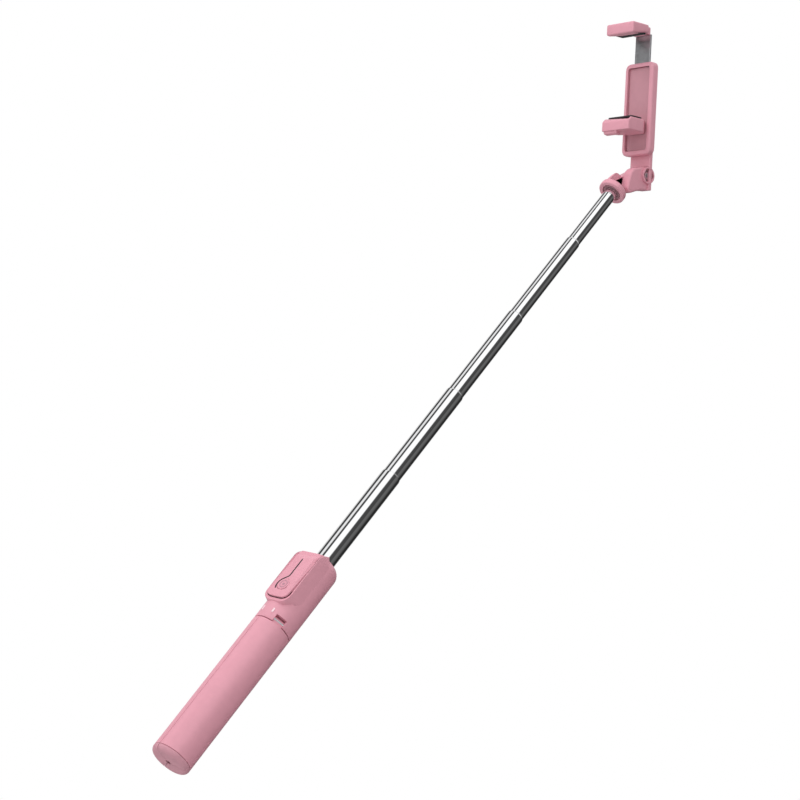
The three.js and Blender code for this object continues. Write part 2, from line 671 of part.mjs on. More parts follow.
function jawSlider() {
  const y0 = sliderFront;
  const y1 = sliderFront + sliderThickness;
  const plate = block(-sliderHalfWidth, sliderHalfWidth, y0, y1, sliderBottom, upperJawInner + 1);
  const lug = block(-springX - 0.9, springX + 0.9, y0, y1, lugBottom, lugBottom + lugHeight);
  return plate.add(lug);
}

// Jaw seen from above: wide where it holds the phone, with a narrower stem to the back.
function jawPlan(back) {
  return rounded([[-jawLeft, jawFront, jawCorner], [jawRight, jawFront, jawCorner], [jawRight, jawBack, 2],
    [sliderHalfWidth, jawBack + 3], [sliderHalfWidth, back], [-sliderHalfWidth, back],
    [-sliderHalfWidth, jawBack + 3], [-jawLeft, jawBack, 2]]);
}

// Side views of the jaws, drawn in y and z and pushed along X.
function upperJaw() {
  const top = upperJawInner + upperJawThickness;
  const side = rounded([[jawFront, phoneTop - 1, 1], [jawFront + 3.6, phoneTop - 1, 0.6], [jawFront + 4.6, upperJawInner, 0.4],
    [sliderFront - partGap, upperJawInner], [sliderFront - partGap, top, 1.5], [jawFront, top, jawCorner]]);
  return alongX(prism(side, -jawLeft, jawRight, 5)).intersect(prism(jawPlan(sliderFront - partGap), 0, top + 5, 5));
}

function lowerJaw() {
  const backFace = coverFront - partGap;
  const side = rounded([[jawFront, lowerJawBottom, 1.6], [jawFront, lowerJawTop - chamferDrop, 1], [jawFront + chamferRun, lowerJawTop, 0.8],
    [backFace, lowerJawTop], [backFace, lowerJawBottom, 1.5]]);
  const lip = rounded([[jawFront + 1.2, lowerJawBottom + 1], [jawFront + 1.6, lowerJawBottom - lipDrop + 0.8, 1.6],
    [jawFront + lipLength, lowerJawBottom - lipDrop, 1.6], [jawFront + lipLength + 0.4, lowerJawBottom + 1]]);
  return alongX(prism(side, -jawLeft, jawRight, 5)).intersect(prism(jawPlan(backFace), 0, lowerJawTop + 5, 5))
    .add(alongX(prism(lip, -jawLeft + 1.2, -1, 5)));
}

function jawPad(low, high) {
  return block(-jawLeft + 2, jawRight - 2, jawFront + 5.4, jawBack - 1.6, low, high);
}

add('clamp_tray', clampTray(), 'pink', head);
add('clamp_cover', clampCover(), 'pink', head);
add('jaw_slider', jawSlider(), 'steel', head);
add('upper_jaw', upperJaw(), 'pink', head);
add('lower_jaw', lowerJaw(), 'pink', head);
add('lower_pad', jawPad(lowerJawTop + partGap, lowerJawTop + partGap + padThickness), 'black', head);
add('upper_pad', jawPad(upperJawInner - partGap - padThickness, upperJawInner - partGap), 'black', head);
const springY = sliderFront + sliderThickness / 2;
[['left', -1], ['right', 1]].forEach(([side, sign]) => {
  add(`clamp_spring_${side}`, moved(rod(springRadius, springBottom, lugBottom - partGap, 10), sign * springX, springY, 0),
    'steel', head);
});
add('spring_anchor', moved(alongX(prism(circle(anchorRadius, 10), -springX - 0.8, springX + 0.8)), 0, springY,
  springBottom - partGap - anchorRadius), 'steel', head);

export default stick;
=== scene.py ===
"""Selfie stick with tripod legs, a docked remote, a five-part pole and a tilting phone clamp.

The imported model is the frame. Each class below measures its sub-assembly from that frame, works
out a smoother skin for every part that shows and gives each part a finish. Shapes are worked out
in millimetres along a Place's own axes, and put into the meshes in metres.
"""
import json
import logging
import math
from dataclasses import dataclass
from enum import Enum
from typing import Sequence

import bpy
import numpy as np
from mathutils import Matrix, Vector


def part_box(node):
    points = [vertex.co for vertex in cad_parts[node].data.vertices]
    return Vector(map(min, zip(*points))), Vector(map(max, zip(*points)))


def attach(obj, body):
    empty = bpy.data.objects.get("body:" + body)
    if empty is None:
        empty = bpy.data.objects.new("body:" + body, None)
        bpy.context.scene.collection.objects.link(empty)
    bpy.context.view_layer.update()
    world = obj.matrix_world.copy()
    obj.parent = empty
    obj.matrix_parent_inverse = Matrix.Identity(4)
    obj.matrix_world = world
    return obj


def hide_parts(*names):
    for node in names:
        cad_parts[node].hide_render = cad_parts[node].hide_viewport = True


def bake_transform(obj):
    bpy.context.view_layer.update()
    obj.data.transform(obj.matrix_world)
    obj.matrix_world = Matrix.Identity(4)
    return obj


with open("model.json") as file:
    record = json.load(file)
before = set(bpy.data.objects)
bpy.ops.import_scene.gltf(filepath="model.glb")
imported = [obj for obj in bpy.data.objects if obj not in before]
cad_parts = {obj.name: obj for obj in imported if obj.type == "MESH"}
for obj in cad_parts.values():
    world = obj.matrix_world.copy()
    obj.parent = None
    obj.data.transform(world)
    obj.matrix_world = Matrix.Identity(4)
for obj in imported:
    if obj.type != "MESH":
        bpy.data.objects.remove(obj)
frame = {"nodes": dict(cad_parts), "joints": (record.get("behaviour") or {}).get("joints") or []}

Array = np.ndarray
Corners = Sequence[Sequence[float]]

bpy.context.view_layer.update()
MM = 0.001
SMOOTH_ANGLE = math.radians(38)
ROUNDING_STEPS = 6
FACE_SUPPORT = 0.06
SHARP = 0.04
MOST_OF_SIDE = 0.49
WHITE = (1, 1, 1, 1)

log = logging.getLogger("selfie_stick")


# ------------------------------------------------------------------------------ places and measures
class Along(Enum):
    """Direction that an outline is pushed along; the value lists the axes as (first, second, push)."""

    X = (1, 2, 0)
    Y = (0, 2, 1)
    Z = (0, 1, 2)


@dataclass(frozen=True)
class Place:
    """A set of axes in the shared frame, in millimetres, that a piece is drawn in."""

    origin: tuple[float, float, float]
    axes: tuple[tuple[float, float, float], ...]

    def pushed(self, along: Along) -> "Place":
        """The same axes in another order, so that an outline is pushed along one of them."""
        return Place(self.origin, tuple(self.axes[i] for i in along.value))

    def put(self, points: Array) -> Array:
        """Local points in the shared frame: the origin plus each coordinate along its axis."""
        return (points @ np.array(self.axes) + np.array(self.origin)) * MM

    def measure(self, node: str) -> tuple[Array, Array]:
        """Measures a CAD node along these axes.

        Args:
            node: Name of the CAD node.

        Returns:
            Its lowest and highest corner in millimetres.
        """
        vertices = frame["nodes"][node].data.vertices
        flat = np.empty(len(vertices) * 3, np.float32)
        vertices.foreach_get("co", flat)
        local = (flat.reshape(-1, 3) / MM - np.array(self.origin)) @ np.array(self.axes).T
        return local.min(axis=0), local.max(axis=0)


def joint(name: str) -> dict:
    """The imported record's entry for one joint."""
    return next(j for j in frame["joints"] if j["name"] == name)


def radial_place(direction: Sequence[float]) -> Place:
    """Axes with x level across, y up the pole and z outwards along a level direction."""
    out = np.array(direction, float)
    across = np.cross((0, 0, 1), out)
    return Place(STICK.origin, (tuple(across), (0, 0, 1), tuple(out)))


STICK = Place((0, 0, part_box("foot_pad_1")[0].z / MM), ((1, 0, 0), (0, 1, 0), (0, 0, 1)))
FRONT = radial_place(joint("remote_lift")["axis"])
HEAD = Place(
    tuple(c / MM for c in joint("head_tilt")["pos_m"]),
    ((1, 0, 0), tuple(joint("clamp_turn")["axis"]), tuple(joint("jaw_slide")["axis"])),
)
SWIVEL = Place((0, 0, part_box("swivel_hub")[0].z / MM), ((1, 0, 0), (0, 1, 0), (0, 0, 1)))


# ------------------------------------------------------------------------------ shapes
@dataclass(frozen=True)
class Shell:
    """Closed skin: points in metres, four-sided faces and the flat ends that close it."""

    points: Array
    quads: Array
    caps: tuple[Array, ...]

    def volume(self) -> float:
        """Signed volume: a sixth of the sum of a . (b x c) over the triangles of every face."""
        a, b, c, d = (self.points[self.quads[:, i]] for i in range(4))
        total = np.einsum("ij,ij->", a, np.cross(b, c)) + np.einsum("ij,ij->", a, np.cross(c, d))
        for cap in self.caps:
            ring = self.points[cap]
            fans = np.cross(ring[1:-1], ring[2:])
            total += float((fans @ ring[0]).sum())
        return float(total) / 6

    def outward(self) -> "Shell":
        """The same skin with its faces turned outwards."""
        if self.volume() >= 0:
            return self
        return Shell(self.points, self.quads[:, ::-1], tuple(cap[::-1] for cap in self.caps))


def shell(rows: Array, place: Place, looped: bool = False) -> Shell:
    """Joins a grid of points into a closed skin.

    Each row is a closed ring. Neighbouring rows are joined by quads, and the first and last row
    are either closed flat or joined to each other.

    Args:
        rows: Points of shape (rows, columns, 3), in millimetres along the place's axes.
        place: Axes that the points are drawn in.
        looped: True to join the last row to the first.

    Returns:
        The skin, with its faces outwards.
    """
    count, width = rows.shape[:2]
    index = np.arange(count * width).reshape(count, width)
    low = index if looped else index[:-1]
    high = np.roll(index, -1, axis=0) if looped else index[1:]
    quads = np.stack([low, np.roll(low, -1, 1), np.roll(high, -1, 1), high], -1).reshape(-1, 4)
    caps = () if looped else (index[0, ::-1], index[-1])
    return Shell(place.put(rows.reshape(-1, 3)), quads, caps).outward()


def softened(corners: Corners, steps: int = ROUNDING_STEPS, closed: bool = True) -> Array:
    """Line through corners, each one rounded off by its third number.

    A corner is cut back by that length on both sides, but by less than half of the shorter side,
    and bridged by (1-t)^2 start + 2t(1-t) corner + t^2 end.

    Args:
        corners: (x, y) or (x, y, rounding) for each corner.
        steps: Points on each rounding.
        closed: False for an open line, whose ends stay sharp.

    Returns:
        Points of shape (n, 2).
    """
    table = np.array([(*corner, SHARP)[:3] for corner in corners], float)
    here = table[:, :2]
    back = np.roll(here, 1, axis=0) - here
    on = np.roll(here, -1, axis=0) - here
    lengths = np.stack([np.linalg.norm(back, axis=1), np.linalg.norm(on, axis=1)])
    cut = np.minimum(np.maximum(table[:, 2], SHARP), MOST_OF_SIDE * lengths.min(axis=0))
    start = here + back * (cut / lengths[0])[:, None]
    end = here + on * (cut / lengths[1])[:, None]
    t = np.linspace(0, 1, steps)[None, :, None]
    curve = (1 - t) ** 2 * start[:, None] + 2 * t * (1 - t) * here[:, None] + t**2 * end[:, None]
    if closed:
        return curve.reshape(-1, 2)
    return np.concatenate([here[:1], curve[1:-1].reshape(-1, 2), here[-1:]])


def directions(angle: Array) -> Array:
    """Unit vectors (cos a, sin a) for an array of angles in radians."""
    return np.stack([np.cos(angle), np.sin(angle)], -1)


def curve_through(t: Array, *points: Sequence[float]) -> Array:
    """Bezier curve: the sum of comb(n, i) (1 - t)^(n - i) t^i times each control point.

    Args:
        t: Column of shares from 0 to 1.
        points: The n + 1 control points.

    Returns:
        A point for each share.
    """
    last = len(points) - 1
    terms = [math.comb(last, i) * (1 - t) ** (last - i) * t**i * np.array(p) for i, p in enumerate(points)]
    return np.sum(terms, axis=0)


def roll_fall(height: Array, top: float, rounding: float, most: float) -> Array:
    """How far a surface has rolled back near the top of a piece.

    With s the share of the way from top - rounding to top, it is rounding * (1 - sqrt(1 - s^2)).

    Args:
        height: Height of each point.
        top: Height where the surface would be level with the pole.
        rounding: Radius of the roll.
        most: Greatest share that counts.

    Returns:
        The fall of each point.
    """
    share = np.clip((height - (top - rounding)) / rounding, 0, most)
    return rounding * (1 - np.sqrt(1 - share**2))


def hexagon_reach(turn: Array, corner: float) -> Array:
    """Distance of a hexagon's rim at a turn: its flat's distance over cos(turn mod 60 - 30 degrees)."""
    half = math.pi / 6
    return corner * math.cos(half) / np.cos(np.mod(turn, 2 * half) - half)


@dataclass(frozen=True)
class Outline:
    """Closed line drawn anticlockwise, with the step that moves each point outwards by 1 mm."""

    points: Array
    steps: Array

    @classmethod
    def through(cls, points: Array) -> "Outline":
        """Makes an outline, and its outward steps from the normals of the sides at each point.

        With unit normals m and n of the two sides, the step is (m + n) / (1 + m . n).

        Args:
            points: Corners of the line, drawn either way round.

        Returns:
            The outline, drawn anticlockwise.
        """
        x, y = points.T
        area = np.sum(x * np.roll(y, -1) - np.roll(x, -1) * y)
        ring = points if area > 0 else points[::-1]
        side = np.roll(ring, -1, axis=0) - ring
        normal = np.stack([side[:, 1], -side[:, 0]], 1) / np.linalg.norm(side, axis=1)[:, None]
        before = np.roll(normal, 1, axis=0)
        dot = np.sum(before * normal, axis=1)[:, None]
        return cls(ring, (before + normal) / np.maximum(1 + dot, 0.2))

    @classmethod
    def circle(cls, radius: float, centre: Sequence[float] = (0, 0), count: int = 72) -> "Outline":
        """Circle of count points: the centre plus radius times (cos a, sin a)."""
        unit = directions(np.linspace(0, 2 * math.pi, count, endpoint=False))
        return cls(unit * radius + np.array(centre), unit)

    @classmethod
    def box(cls, low: Sequence[float], high: Sequence[float], rounding: float) -> "Outline":
        """Rectangle between two corners, with equally rounded corners."""
        (x0, y0), (x1, y1) = low, high
        corners = [(x0, y0, rounding), (x1, y0, rounding), (x1, y1, rounding), (x0, y1, rounding)]
        return cls.through(softened(corners))

    def inset(self, distances: Array) -> Array:
        """Rows of points, row i being the outline drawn in by distances[i]."""
        return self.points - distances[:, None, None] * self.steps

    def seen_from(self, centre: Sequence[float], radius: float) -> Array:
        """Points of a circle in the directions of the outline's points from its centre."""
        away = self.points - np.array(centre)
        return away / np.linalg.norm(away, axis=1)[:, None] * radius + np.array(centre)


def raised(flat: Array, heights: Array) -> Array:
    """Rows of flat points given a height each: heights has one number for each row or point."""
    up = np.broadcast_to(heights.reshape(len(flat), -1, 1), flat.shape[:2] + (1,))
    return np.concatenate([flat, up], axis=2)


def quarter(radius: float, steps: int = ROUNDING_STEPS) -> tuple[Array, Array]:
    """Quarter round: inset radius (1 - sin t) and rise radius (1 - cos t), t from 0 to 90 degrees."""
    t = np.linspace(0, math.pi / 2, steps)
    return radius * (1 - np.sin(t)), radius * (1 - np.cos(t))


def rims(low: float, high: float, edge: float) -> tuple[Array, Array]:
    """Insets and heights up the side of a slab whose two rims are quarter rounds.

    Args:
        low: Height of the lower face.
        high: Height of the upper face.
        edge: Radius of the rims.

    Returns:
        The inset and the height of each row.
    """
    inset, rise = quarter(edge)
    middle = np.array([edge + FACE_SUPPORT])
    insets = np.concatenate([middle, inset, inset[::-1], middle])
    return insets, np.concatenate([[low], low + rise, high - rise[::-1], [high]])


def slab_rows(outline: Outline, low: float, high: float, edge: float) -> Array:
    """Rows of a flat slab between two heights, whose two rims are quarter rounds of the edge radius."""
    insets, heights = rims(low, high, edge)
    return raised(outline.inset(insets), heights)


def slab(outline: Outline, low: float, high: float, edge: float, place: Place) -> Shell:
    """Flat slab of an outline between two heights, with rounded rims."""
    return shell(slab_rows(outline, low, high, edge), place)


def holed_rows(outer: Outline, inner: Outline, low: float, high: float, edge: float) -> Array:
    """Looped rows of a slab with a hole: up the outer outline, then down the inner one."""
    insets, heights = rims(low, high, edge)
    return np.concatenate([raised(outer.inset(insets), heights), raised(inner.inset(-insets), heights)[::-1]])


def turned(profile: Array, place: Place, looped: bool = False, count: int = 96) -> Shell:
    """Solid of revolution: each profile point (r, h) becomes the ring (r cos a, r sin a, h).

    Args:
        profile: Radius and height of each row, in millimetres.
        place: Axes, of which the third is the axis of revolution.
        looped: True for a profile that closes on itself instead of at the axis.
        count: Points on each ring.

    Returns:
        The skin.
    """
    ring = Outline.circle(1.0, count=count).points
    return shell(raised(profile[:, :1, None] * ring, profile[:, 1]), place, looped)


def rod(radius: float, low: float, high: float, centre: Sequence[float], edge: float, place: Place) -> Shell:
    """Round pin with rounded ends, about a centre given in the place's first two axes."""
    return slab(Outline.circle(radius, centre, 40), low, high, edge, place)


# ------------------------------------------------------------------------------ node graphs and finishes
class Graph:
    """A node tree with short calls that add and join nodes."""

    def __init__(self, tree: bpy.types.NodeTree) -> None:
        """Takes the tree and empties it."""
        self.tree = tree
        tree.nodes.clear()

    def add(self, kind: str, sockets: dict | None = None, **settings: object) -> bpy.types.Node:
        """Adds a node.

        Args:
            kind: Node type without its ShaderNode prefix.
            sockets: Values or source sockets for the node's inputs, by name or number.
            settings: Attributes of the node.

        Returns:
            The node.
        """
        node = self.tree.nodes.new("ShaderNode" + kind)
        for name, value in settings.items():
            setattr(node, name, value)
        for name, value in (sockets or {}).items():
            if isinstance(value, bpy.types.NodeSocket):
                self.tree.links.new(value, node.inputs[name])
            else:
                node.inputs[name].default_value = value
        return node

    def ramp(self, factor: bpy.types.NodeSocket, stops: Sequence[tuple]) -> bpy.types.Node:
        """Adds a colour ramp with straight steps between its stops.

        Args:
            factor: Socket that drives the ramp.
            stops: (position, colour) pairs in rising order.

        Returns:
            The ramp node.
        """
        node = self.add("ValToRGB", {"Fac": factor})
        elements = node.color_ramp.elements
        for _ in stops[2:]:
            elements.new(1.0)
        for element, (position, colour) in zip(elements, stops):
            element.position = position
            element.color = (*colour, 1.0)
        return node


@dataclass(frozen=True)
class Finish:
    """Surface of one material: mottled colour, uneven gloss and a fine grain in the surface."""

    name: str
    slot: str
    colour: tuple[float, float, float]
    mottle: float = 0.06
    mottle_size: float = 0.006
    stretch: tuple[float, float, float] = (1, 1, 1)
    roughness: float = 0.4
    unevenness: float = 0.06
    grain_size: float = 0.0005
    grain_depth: float = 0.08
    metallic: float = 0.0
    coat: float = 0.0
    rib_spacing: float = 0.0

    def build(self) -> bpy.types.Material:
        """Builds the node material, once for each finish."""
        known = bpy.data.materials.get(self.name)
        if known:
            return known
        material = bpy.data.materials.new(self.name)
        material.use_nodes = True
        graph = Graph(material.node_tree)
        place = graph.add("TexCoord").outputs["Object"]
        along = graph.add("Mapping", {"Vector": place, "Scale": self.stretch}).outputs["Vector"]
        noise = {"Vector": along, "Scale": 1 / self.mottle_size, "Detail": 4.0, "Roughness": 0.55}
        cloud = graph.add("TexNoise", noise).outputs["Fac"]
        dark = tuple(c * (1 - self.mottle) for c in self.colour)
        light = tuple(min(1.0, c * (1 + self.mottle)) for c in self.colour)
        colour = graph.ramp(cloud, [(0.3, dark), (0.7, light)]).outputs["Color"]
        low, high = self.roughness - self.unevenness, self.roughness + self.unevenness
        gloss = graph.add("MapRange", {"Value": cloud, "To Min": low, "To Max": high}).outputs["Result"]
        grain_scale = {"Vector": along, "Scale": 1 / self.grain_size, "Detail": 2.0}
        grain = graph.add("TexNoise", grain_scale).outputs["Fac"]
        height = {"Height": grain, "Strength": self.grain_depth, "Distance": self.grain_size}
        normal = graph.add("Bump", height).outputs["Normal"]
        if self.rib_spacing:
            normal = self.ribs(graph, place, normal)
        shader = graph.add(
            "BsdfPrincipled",
            {
                "Base Color": colour,
                "Roughness": gloss,
                "Normal": normal,
                "Metallic": self.metallic,
                "Coat Weight": self.coat,
                "Coat Roughness": 0.3,
            },
        )
        graph.add("OutputMaterial", {"Surface": shader.outputs["BSDF"]})
        return material

    def ribs(
        self, graph: Graph, place: bpy.types.NodeSocket, under: bpy.types.NodeSocket
    ) -> bpy.types.NodeSocket:
        """Adds straight moulded ribs across x to the grain.

        Args:
            graph: Graph that is being built.
            place: Object coordinates.
            under: Normal that the ribs are added to.

        Returns:
            The new normal.
        """
        wave = {"Vector": place, "Scale": 0.5 / self.rib_spacing / math.pi, "Distortion": 0.0}
        bands = graph.add("TexWave", wave, bands_direction="X").outputs["Fac"]
        height = {"Height": bands, "Strength": 0.6, "Distance": self.rib_spacing / 2, "Normal": under}
        return graph.add("Bump", height).outputs["Normal"]


SATIN_PINK = Finish("satin_pink_plastic", "body_plastic", (0.74, 0.335, 0.41), 0.025, roughness=0.42)
BUTTON_PINK = Finish("button_pink_plastic", "button_plastic", (0.70, 0.31, 0.385), 0.025, roughness=0.36)
# Front bar drawn paler than the body's pink.
PALE_PINK = Finish("pale_pink_front_bar", "body_plastic", (0.93, 0.72, 0.76), 0.02, roughness=0.35)
# Cover pink darker than the body's: partly the cover's own colour, partly painted shade that the phone and
# jaw cast into the tray.
SHADED_COVER_PINK = Finish("matt_pink_cover_painted_shade", "body_plastic", (0.56, 0.27, 0.32), 0.03, roughness=0.6)
# Dark pink of the clip in the hub's dish: painted shade of the dish round the tube.
CLIP_DISH_SHADE_PINK = Finish("dark_pink_nylon_painted_dish_shade", "bush_plastic", (0.34, 0.16, 0.19), 0.05, roughness=0.6)
# Dark mauve nut: painted shade of the deep hexagonal recess in the boss.
NUT_RECESS_SHADE = Finish("dark_mauve_nut_painted_shade", "steel", (0.26, 0.11, 0.14), 0.05, roughness=0.5)
PRINT_GREY = Finish("grey_print", "button_plastic", (0.42, 0.22, 0.27), 0.05, roughness=0.5)
FOOT_PINK = Finish(
    "foot_pink_rubber",
    "foot_rubber",
    (0.62, 0.30, 0.36),
    0.06,
    roughness=0.7,
    grain_depth=0.25,
    grain_size=0.0007,
)
CHROME = Finish(
    "drawn_chrome",
    "chrome_tube",
    (0.86, 0.865, 0.875),
    0.03,
    stretch=(1, 1, 0.04),
    roughness=0.07,
    unevenness=0.02,
    grain_size=0.0009,
    grain_depth=0.012,
    metallic=1.0,
)
BRIGHT_STEEL = Finish("brushed_steel", "steel", (0.62, 0.63, 0.65), 0.1, roughness=0.3, metallic=1.0)
BLACK_NYLON = Finish(
    "black_nylon", "bush_plastic", (0.018, 0.018, 0.02), 0.25, roughness=0.55, grain_depth=0.2
)
GRIP_RUBBER = Finish(
    "ribbed_grip_rubber", "grip_rubber", (0.03, 0.029, 0.032), 0.2, roughness=0.75, rib_spacing=0.0016
)
BOARD_GREEN = Finish("green_circuit_board", "circuit_board", (0.02, 0.12, 0.05), 0.2, roughness=0.5)


# ------------------------------------------------------------------------------ pieces
def make_piece(
    name: str, shells: Sequence[Shell], finish: Finish, body: str | None, *nodes: str
) -> bpy.types.Object:
    """Puts skins into one mesh object, finishes it and ties it to the frame.

    Args:
        name: Name of the new piece.
        shells: Skins that the piece is made of.
        finish: Finish of the piece.
        body: CAD body that it rides on, or None for a piece that is tied to no body.
        nodes: CAD nodes that it stands for.

    Returns:
        The object.
    """
    counts = np.cumsum([0] + [len(s.points) for s in shells])
    quads = np.concatenate([s.quads + start for s, start in zip(shells, counts)])
    caps = [cap + start for s, start in zip(shells, counts) for cap in s.caps]
    corners = np.concatenate([quads.ravel(), *caps]).astype(np.int32)
    sizes = np.array([4] * len(quads) + [len(cap) for cap in caps])
    mesh = bpy.data.meshes.new(name)
    mesh.vertices.add(int(counts[-1]))
    points = np.concatenate([s.points for s in shells])
    mesh.vertices.foreach_set("co", points.astype(np.float32).ravel())
    mesh.loops.add(len(corners))
    mesh.loops.foreach_set("vertex_index", corners)
    mesh.polygons.add(len(sizes))
    mesh.polygons.foreach_set("loop_start", (np.cumsum(sizes) - sizes).astype(np.int32))
    mesh.polygons.foreach_set("use_smooth", np.ones(len(sizes), bool))
    mesh.update(calc_edges=True)
    mesh.validate()
    mesh.set_sharp_from_angle(angle=SMOOTH_ANGLE)
    mesh.materials.append(finish.build())
    piece = bpy.data.objects.new(name, mesh)
    bpy.context.scene.collection.objects.link(piece)
    if body:
        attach(piece, body)
    if nodes:
        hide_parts(*nodes)
    log.info("%s: %d faces on %s, %s", name, len(sizes), body, finish.name)
    return piece


def dress(finish: Finish, *nodes: str) -> None:
    """Gives CAD nodes whose shape is right a finish.

    Args:
        finish: Finish to give them.
        nodes: Names of the nodes.
    """
    for name in nodes:
        node = frame["nodes"][name]
        if not node.material_slots:
            node.data.materials.append(None)
        for slot in node.material_slots:
            slot.material = finish.build()
        log.info("%s: kept from the frame, %s", name, finish.name)


# ------------------------------------------------------------------------------ sub-assemblies
@dataclass
class Handle:
    """Three legs that close into the grip, their foot pads, and the housing they hinge on."""

    leg_count: int = 3
    leg_inner: float = 10.2
    slit: float = 0.4
    leg_edge: float = 0.45
    leg_corner: float = 0.35
    leg_gap: float = 0.7
    foot_hole: float = 2.2
    foot_rounding: float = 3.8
    foot_seam: float = 0.15
    window_half: float = 4.65
    window_floor: float = 10.4
    window_top: float = 133.3
    window_wall_turn: float = 0.12
    ledge: float = 0.04
    band_line: float = 138.0
    band_top: float = 141.0
    pocket_turn: float = 50.0
    rim_edge: float = 0.3
    pin_ring: float = 13.4
    pin_height: float = 129.6
    ear_reach: float = 2.2
    ear_sunk: float = 1.4
    ear_foot: float = 6.0
    ear_side_gap: float = 0.35
    bore: float = 9.6
    shoulder: float = 8.0
    pocket_floor: float = 12.2
    dock_face: float = 16.7
    dock_back: float = 4.5
    dock_spread: float = 2.2
    dock_lip: float = 1.6
    dock_sill: float = 1.0
    dock_corner: float = 8.6
    dock_inner_corner: float = 7.2
    dock_edge: float = 0.35
    dock_run: float = 10.0
    dock_short: float = 0.6
    dock_sink: float = 7.0
    dock_top_rounding: float = 9.0
    bore_clearance: float = 0.9
    remote_gap: float = 0.3

    def __post_init__(self) -> None:
        """Measures the handle's outside from the frame."""
        self.radius = STICK.measure("leg_2")[1][1]
        self.leg_low, self.leg_high = (c[2] for c in STICK.measure("leg_1"))
        self.low, self.top = (c[2] for c in STICK.measure("upper_housing"))
        self.leg_shoulder = self.low - self.leg_gap

    def leg_angle(self, number: int) -> float:
        """Direction of a leg in radians, from the joint that it folds on."""
        x, y, _ = joint(f"leg_{number}_fold")["pos_m"]
        return math.atan2(y, x)

    def sector(self, angle: float, inner: float) -> Outline:
        """Outline of one leg: an outer arc, two straight sides and an inner arc.

        At radius r an arc ends where it meets the side, asin(half the slit / r) short of a third
        of a half turn.

        Args:
            angle: Direction of the leg's middle, in radians.
            inner: Radius of the inner arc.

        Returns:
            The outline.
        """
        share = math.pi / self.leg_count
        arcs = []
        for radius, count, sign in ((self.radius, 41, 1), (inner, 15, -1)):
            reach = share - math.asin(self.slit / 2 / radius)
            turn = angle + sign * np.linspace(-reach, reach, count)
            arcs.append(radius * directions(turn))
        rounding = np.full((len(arcs[0]) + len(arcs[1]), 1), 0.05)
        rounding[[0, len(arcs[0]) - 1, len(arcs[0]), -1]] = self.leg_corner
        return Outline.through(softened(np.hstack([np.concatenate(arcs), rounding]), steps=4))

    def ear(self, angle: float) -> Shell:
        """Ear at the top of a leg that turns on the hinge pin.

        A slab drawn in the plane of the leg's swing, whose outer face is drawn in by
        radius - sqrt(radius^2 - side^2) so that it stays sunk below the round of the handle.

        Args:
            angle: Direction of the leg's middle, in radians.

        Returns:
            The skin.
        """
        inner, face = self.pin_ring - self.ear_reach, self.radius - self.ear_sunk
        top = self.pin_height + self.ear_reach
        corners = [
            (inner, self.leg_shoulder - self.ear_foot),
            (face, self.leg_shoulder - self.ear_foot),
            (face, self.pin_height, 1.4),
            (face - 0.4, top, 1.4),
            (inner, top, 1.9),
        ]
        half = self.window_half - self.ear_side_gap
        rows = slab_rows(Outline.through(softened(corners)), -half, half, 0.45)
        side = rows[..., 2]
        share = np.clip((rows[..., 0] - inner) / (face - inner), 0, 1)
        rows[..., 0] -= share * (self.radius - np.sqrt(self.radius**2 - side**2))
        out = (math.cos(angle), math.sin(angle), 0)
        return shell(rows, Place(STICK.origin, (out, (0, 0, 1), (out[1], -out[0], 0))))

    def legs(self) -> None:
        """Builds the legs, each a sector carried up the handle with an ear on top."""
        for number in range(1, self.leg_count + 1):
            angle = self.leg_angle(number)
            outline = self.sector(angle, self.leg_inner)
            body = slab(outline, self.leg_low, self.leg_shoulder, self.leg_edge, STICK)
            leg = f"leg_{number}"
            make_piece(f"leg_skin_{number}", [body, self.ear(angle)], SATIN_PINK, leg, leg)

    def feet(self) -> None:
        """Builds the foot pads: a leg's sector whose outer arc follows a quarter round at the bottom.

        A point at radius r moves in by (r - hole) / (outside - hole) times the round's inset.
        """
        inset, rise = quarter(self.foot_rounding, 9)
        for number in range(1, self.leg_count + 1):
            low, high = (c[2] for c in STICK.measure(f"foot_pad_{number}"))
            outline = self.sector(self.leg_angle(number), self.foot_hole)
            heights = np.concatenate([low + rise, [high - self.foot_seam, high]])
            insets = np.concatenate([inset, [0.0, self.foot_seam]])
            radius = np.linalg.norm(outline.points, axis=1)
            share = (radius - self.foot_hole) / (self.radius - self.foot_hole)
            scale = 1 - insets[:, None] * share[None] / radius[None]
            rows = raised(outline.points[None] * scale[..., None], heights)
            name = f"foot_pad_{number}"
            make_piece(f"foot_skin_{number}", [shell(rows, STICK)], FOOT_PINK, f"leg_{number}", name)

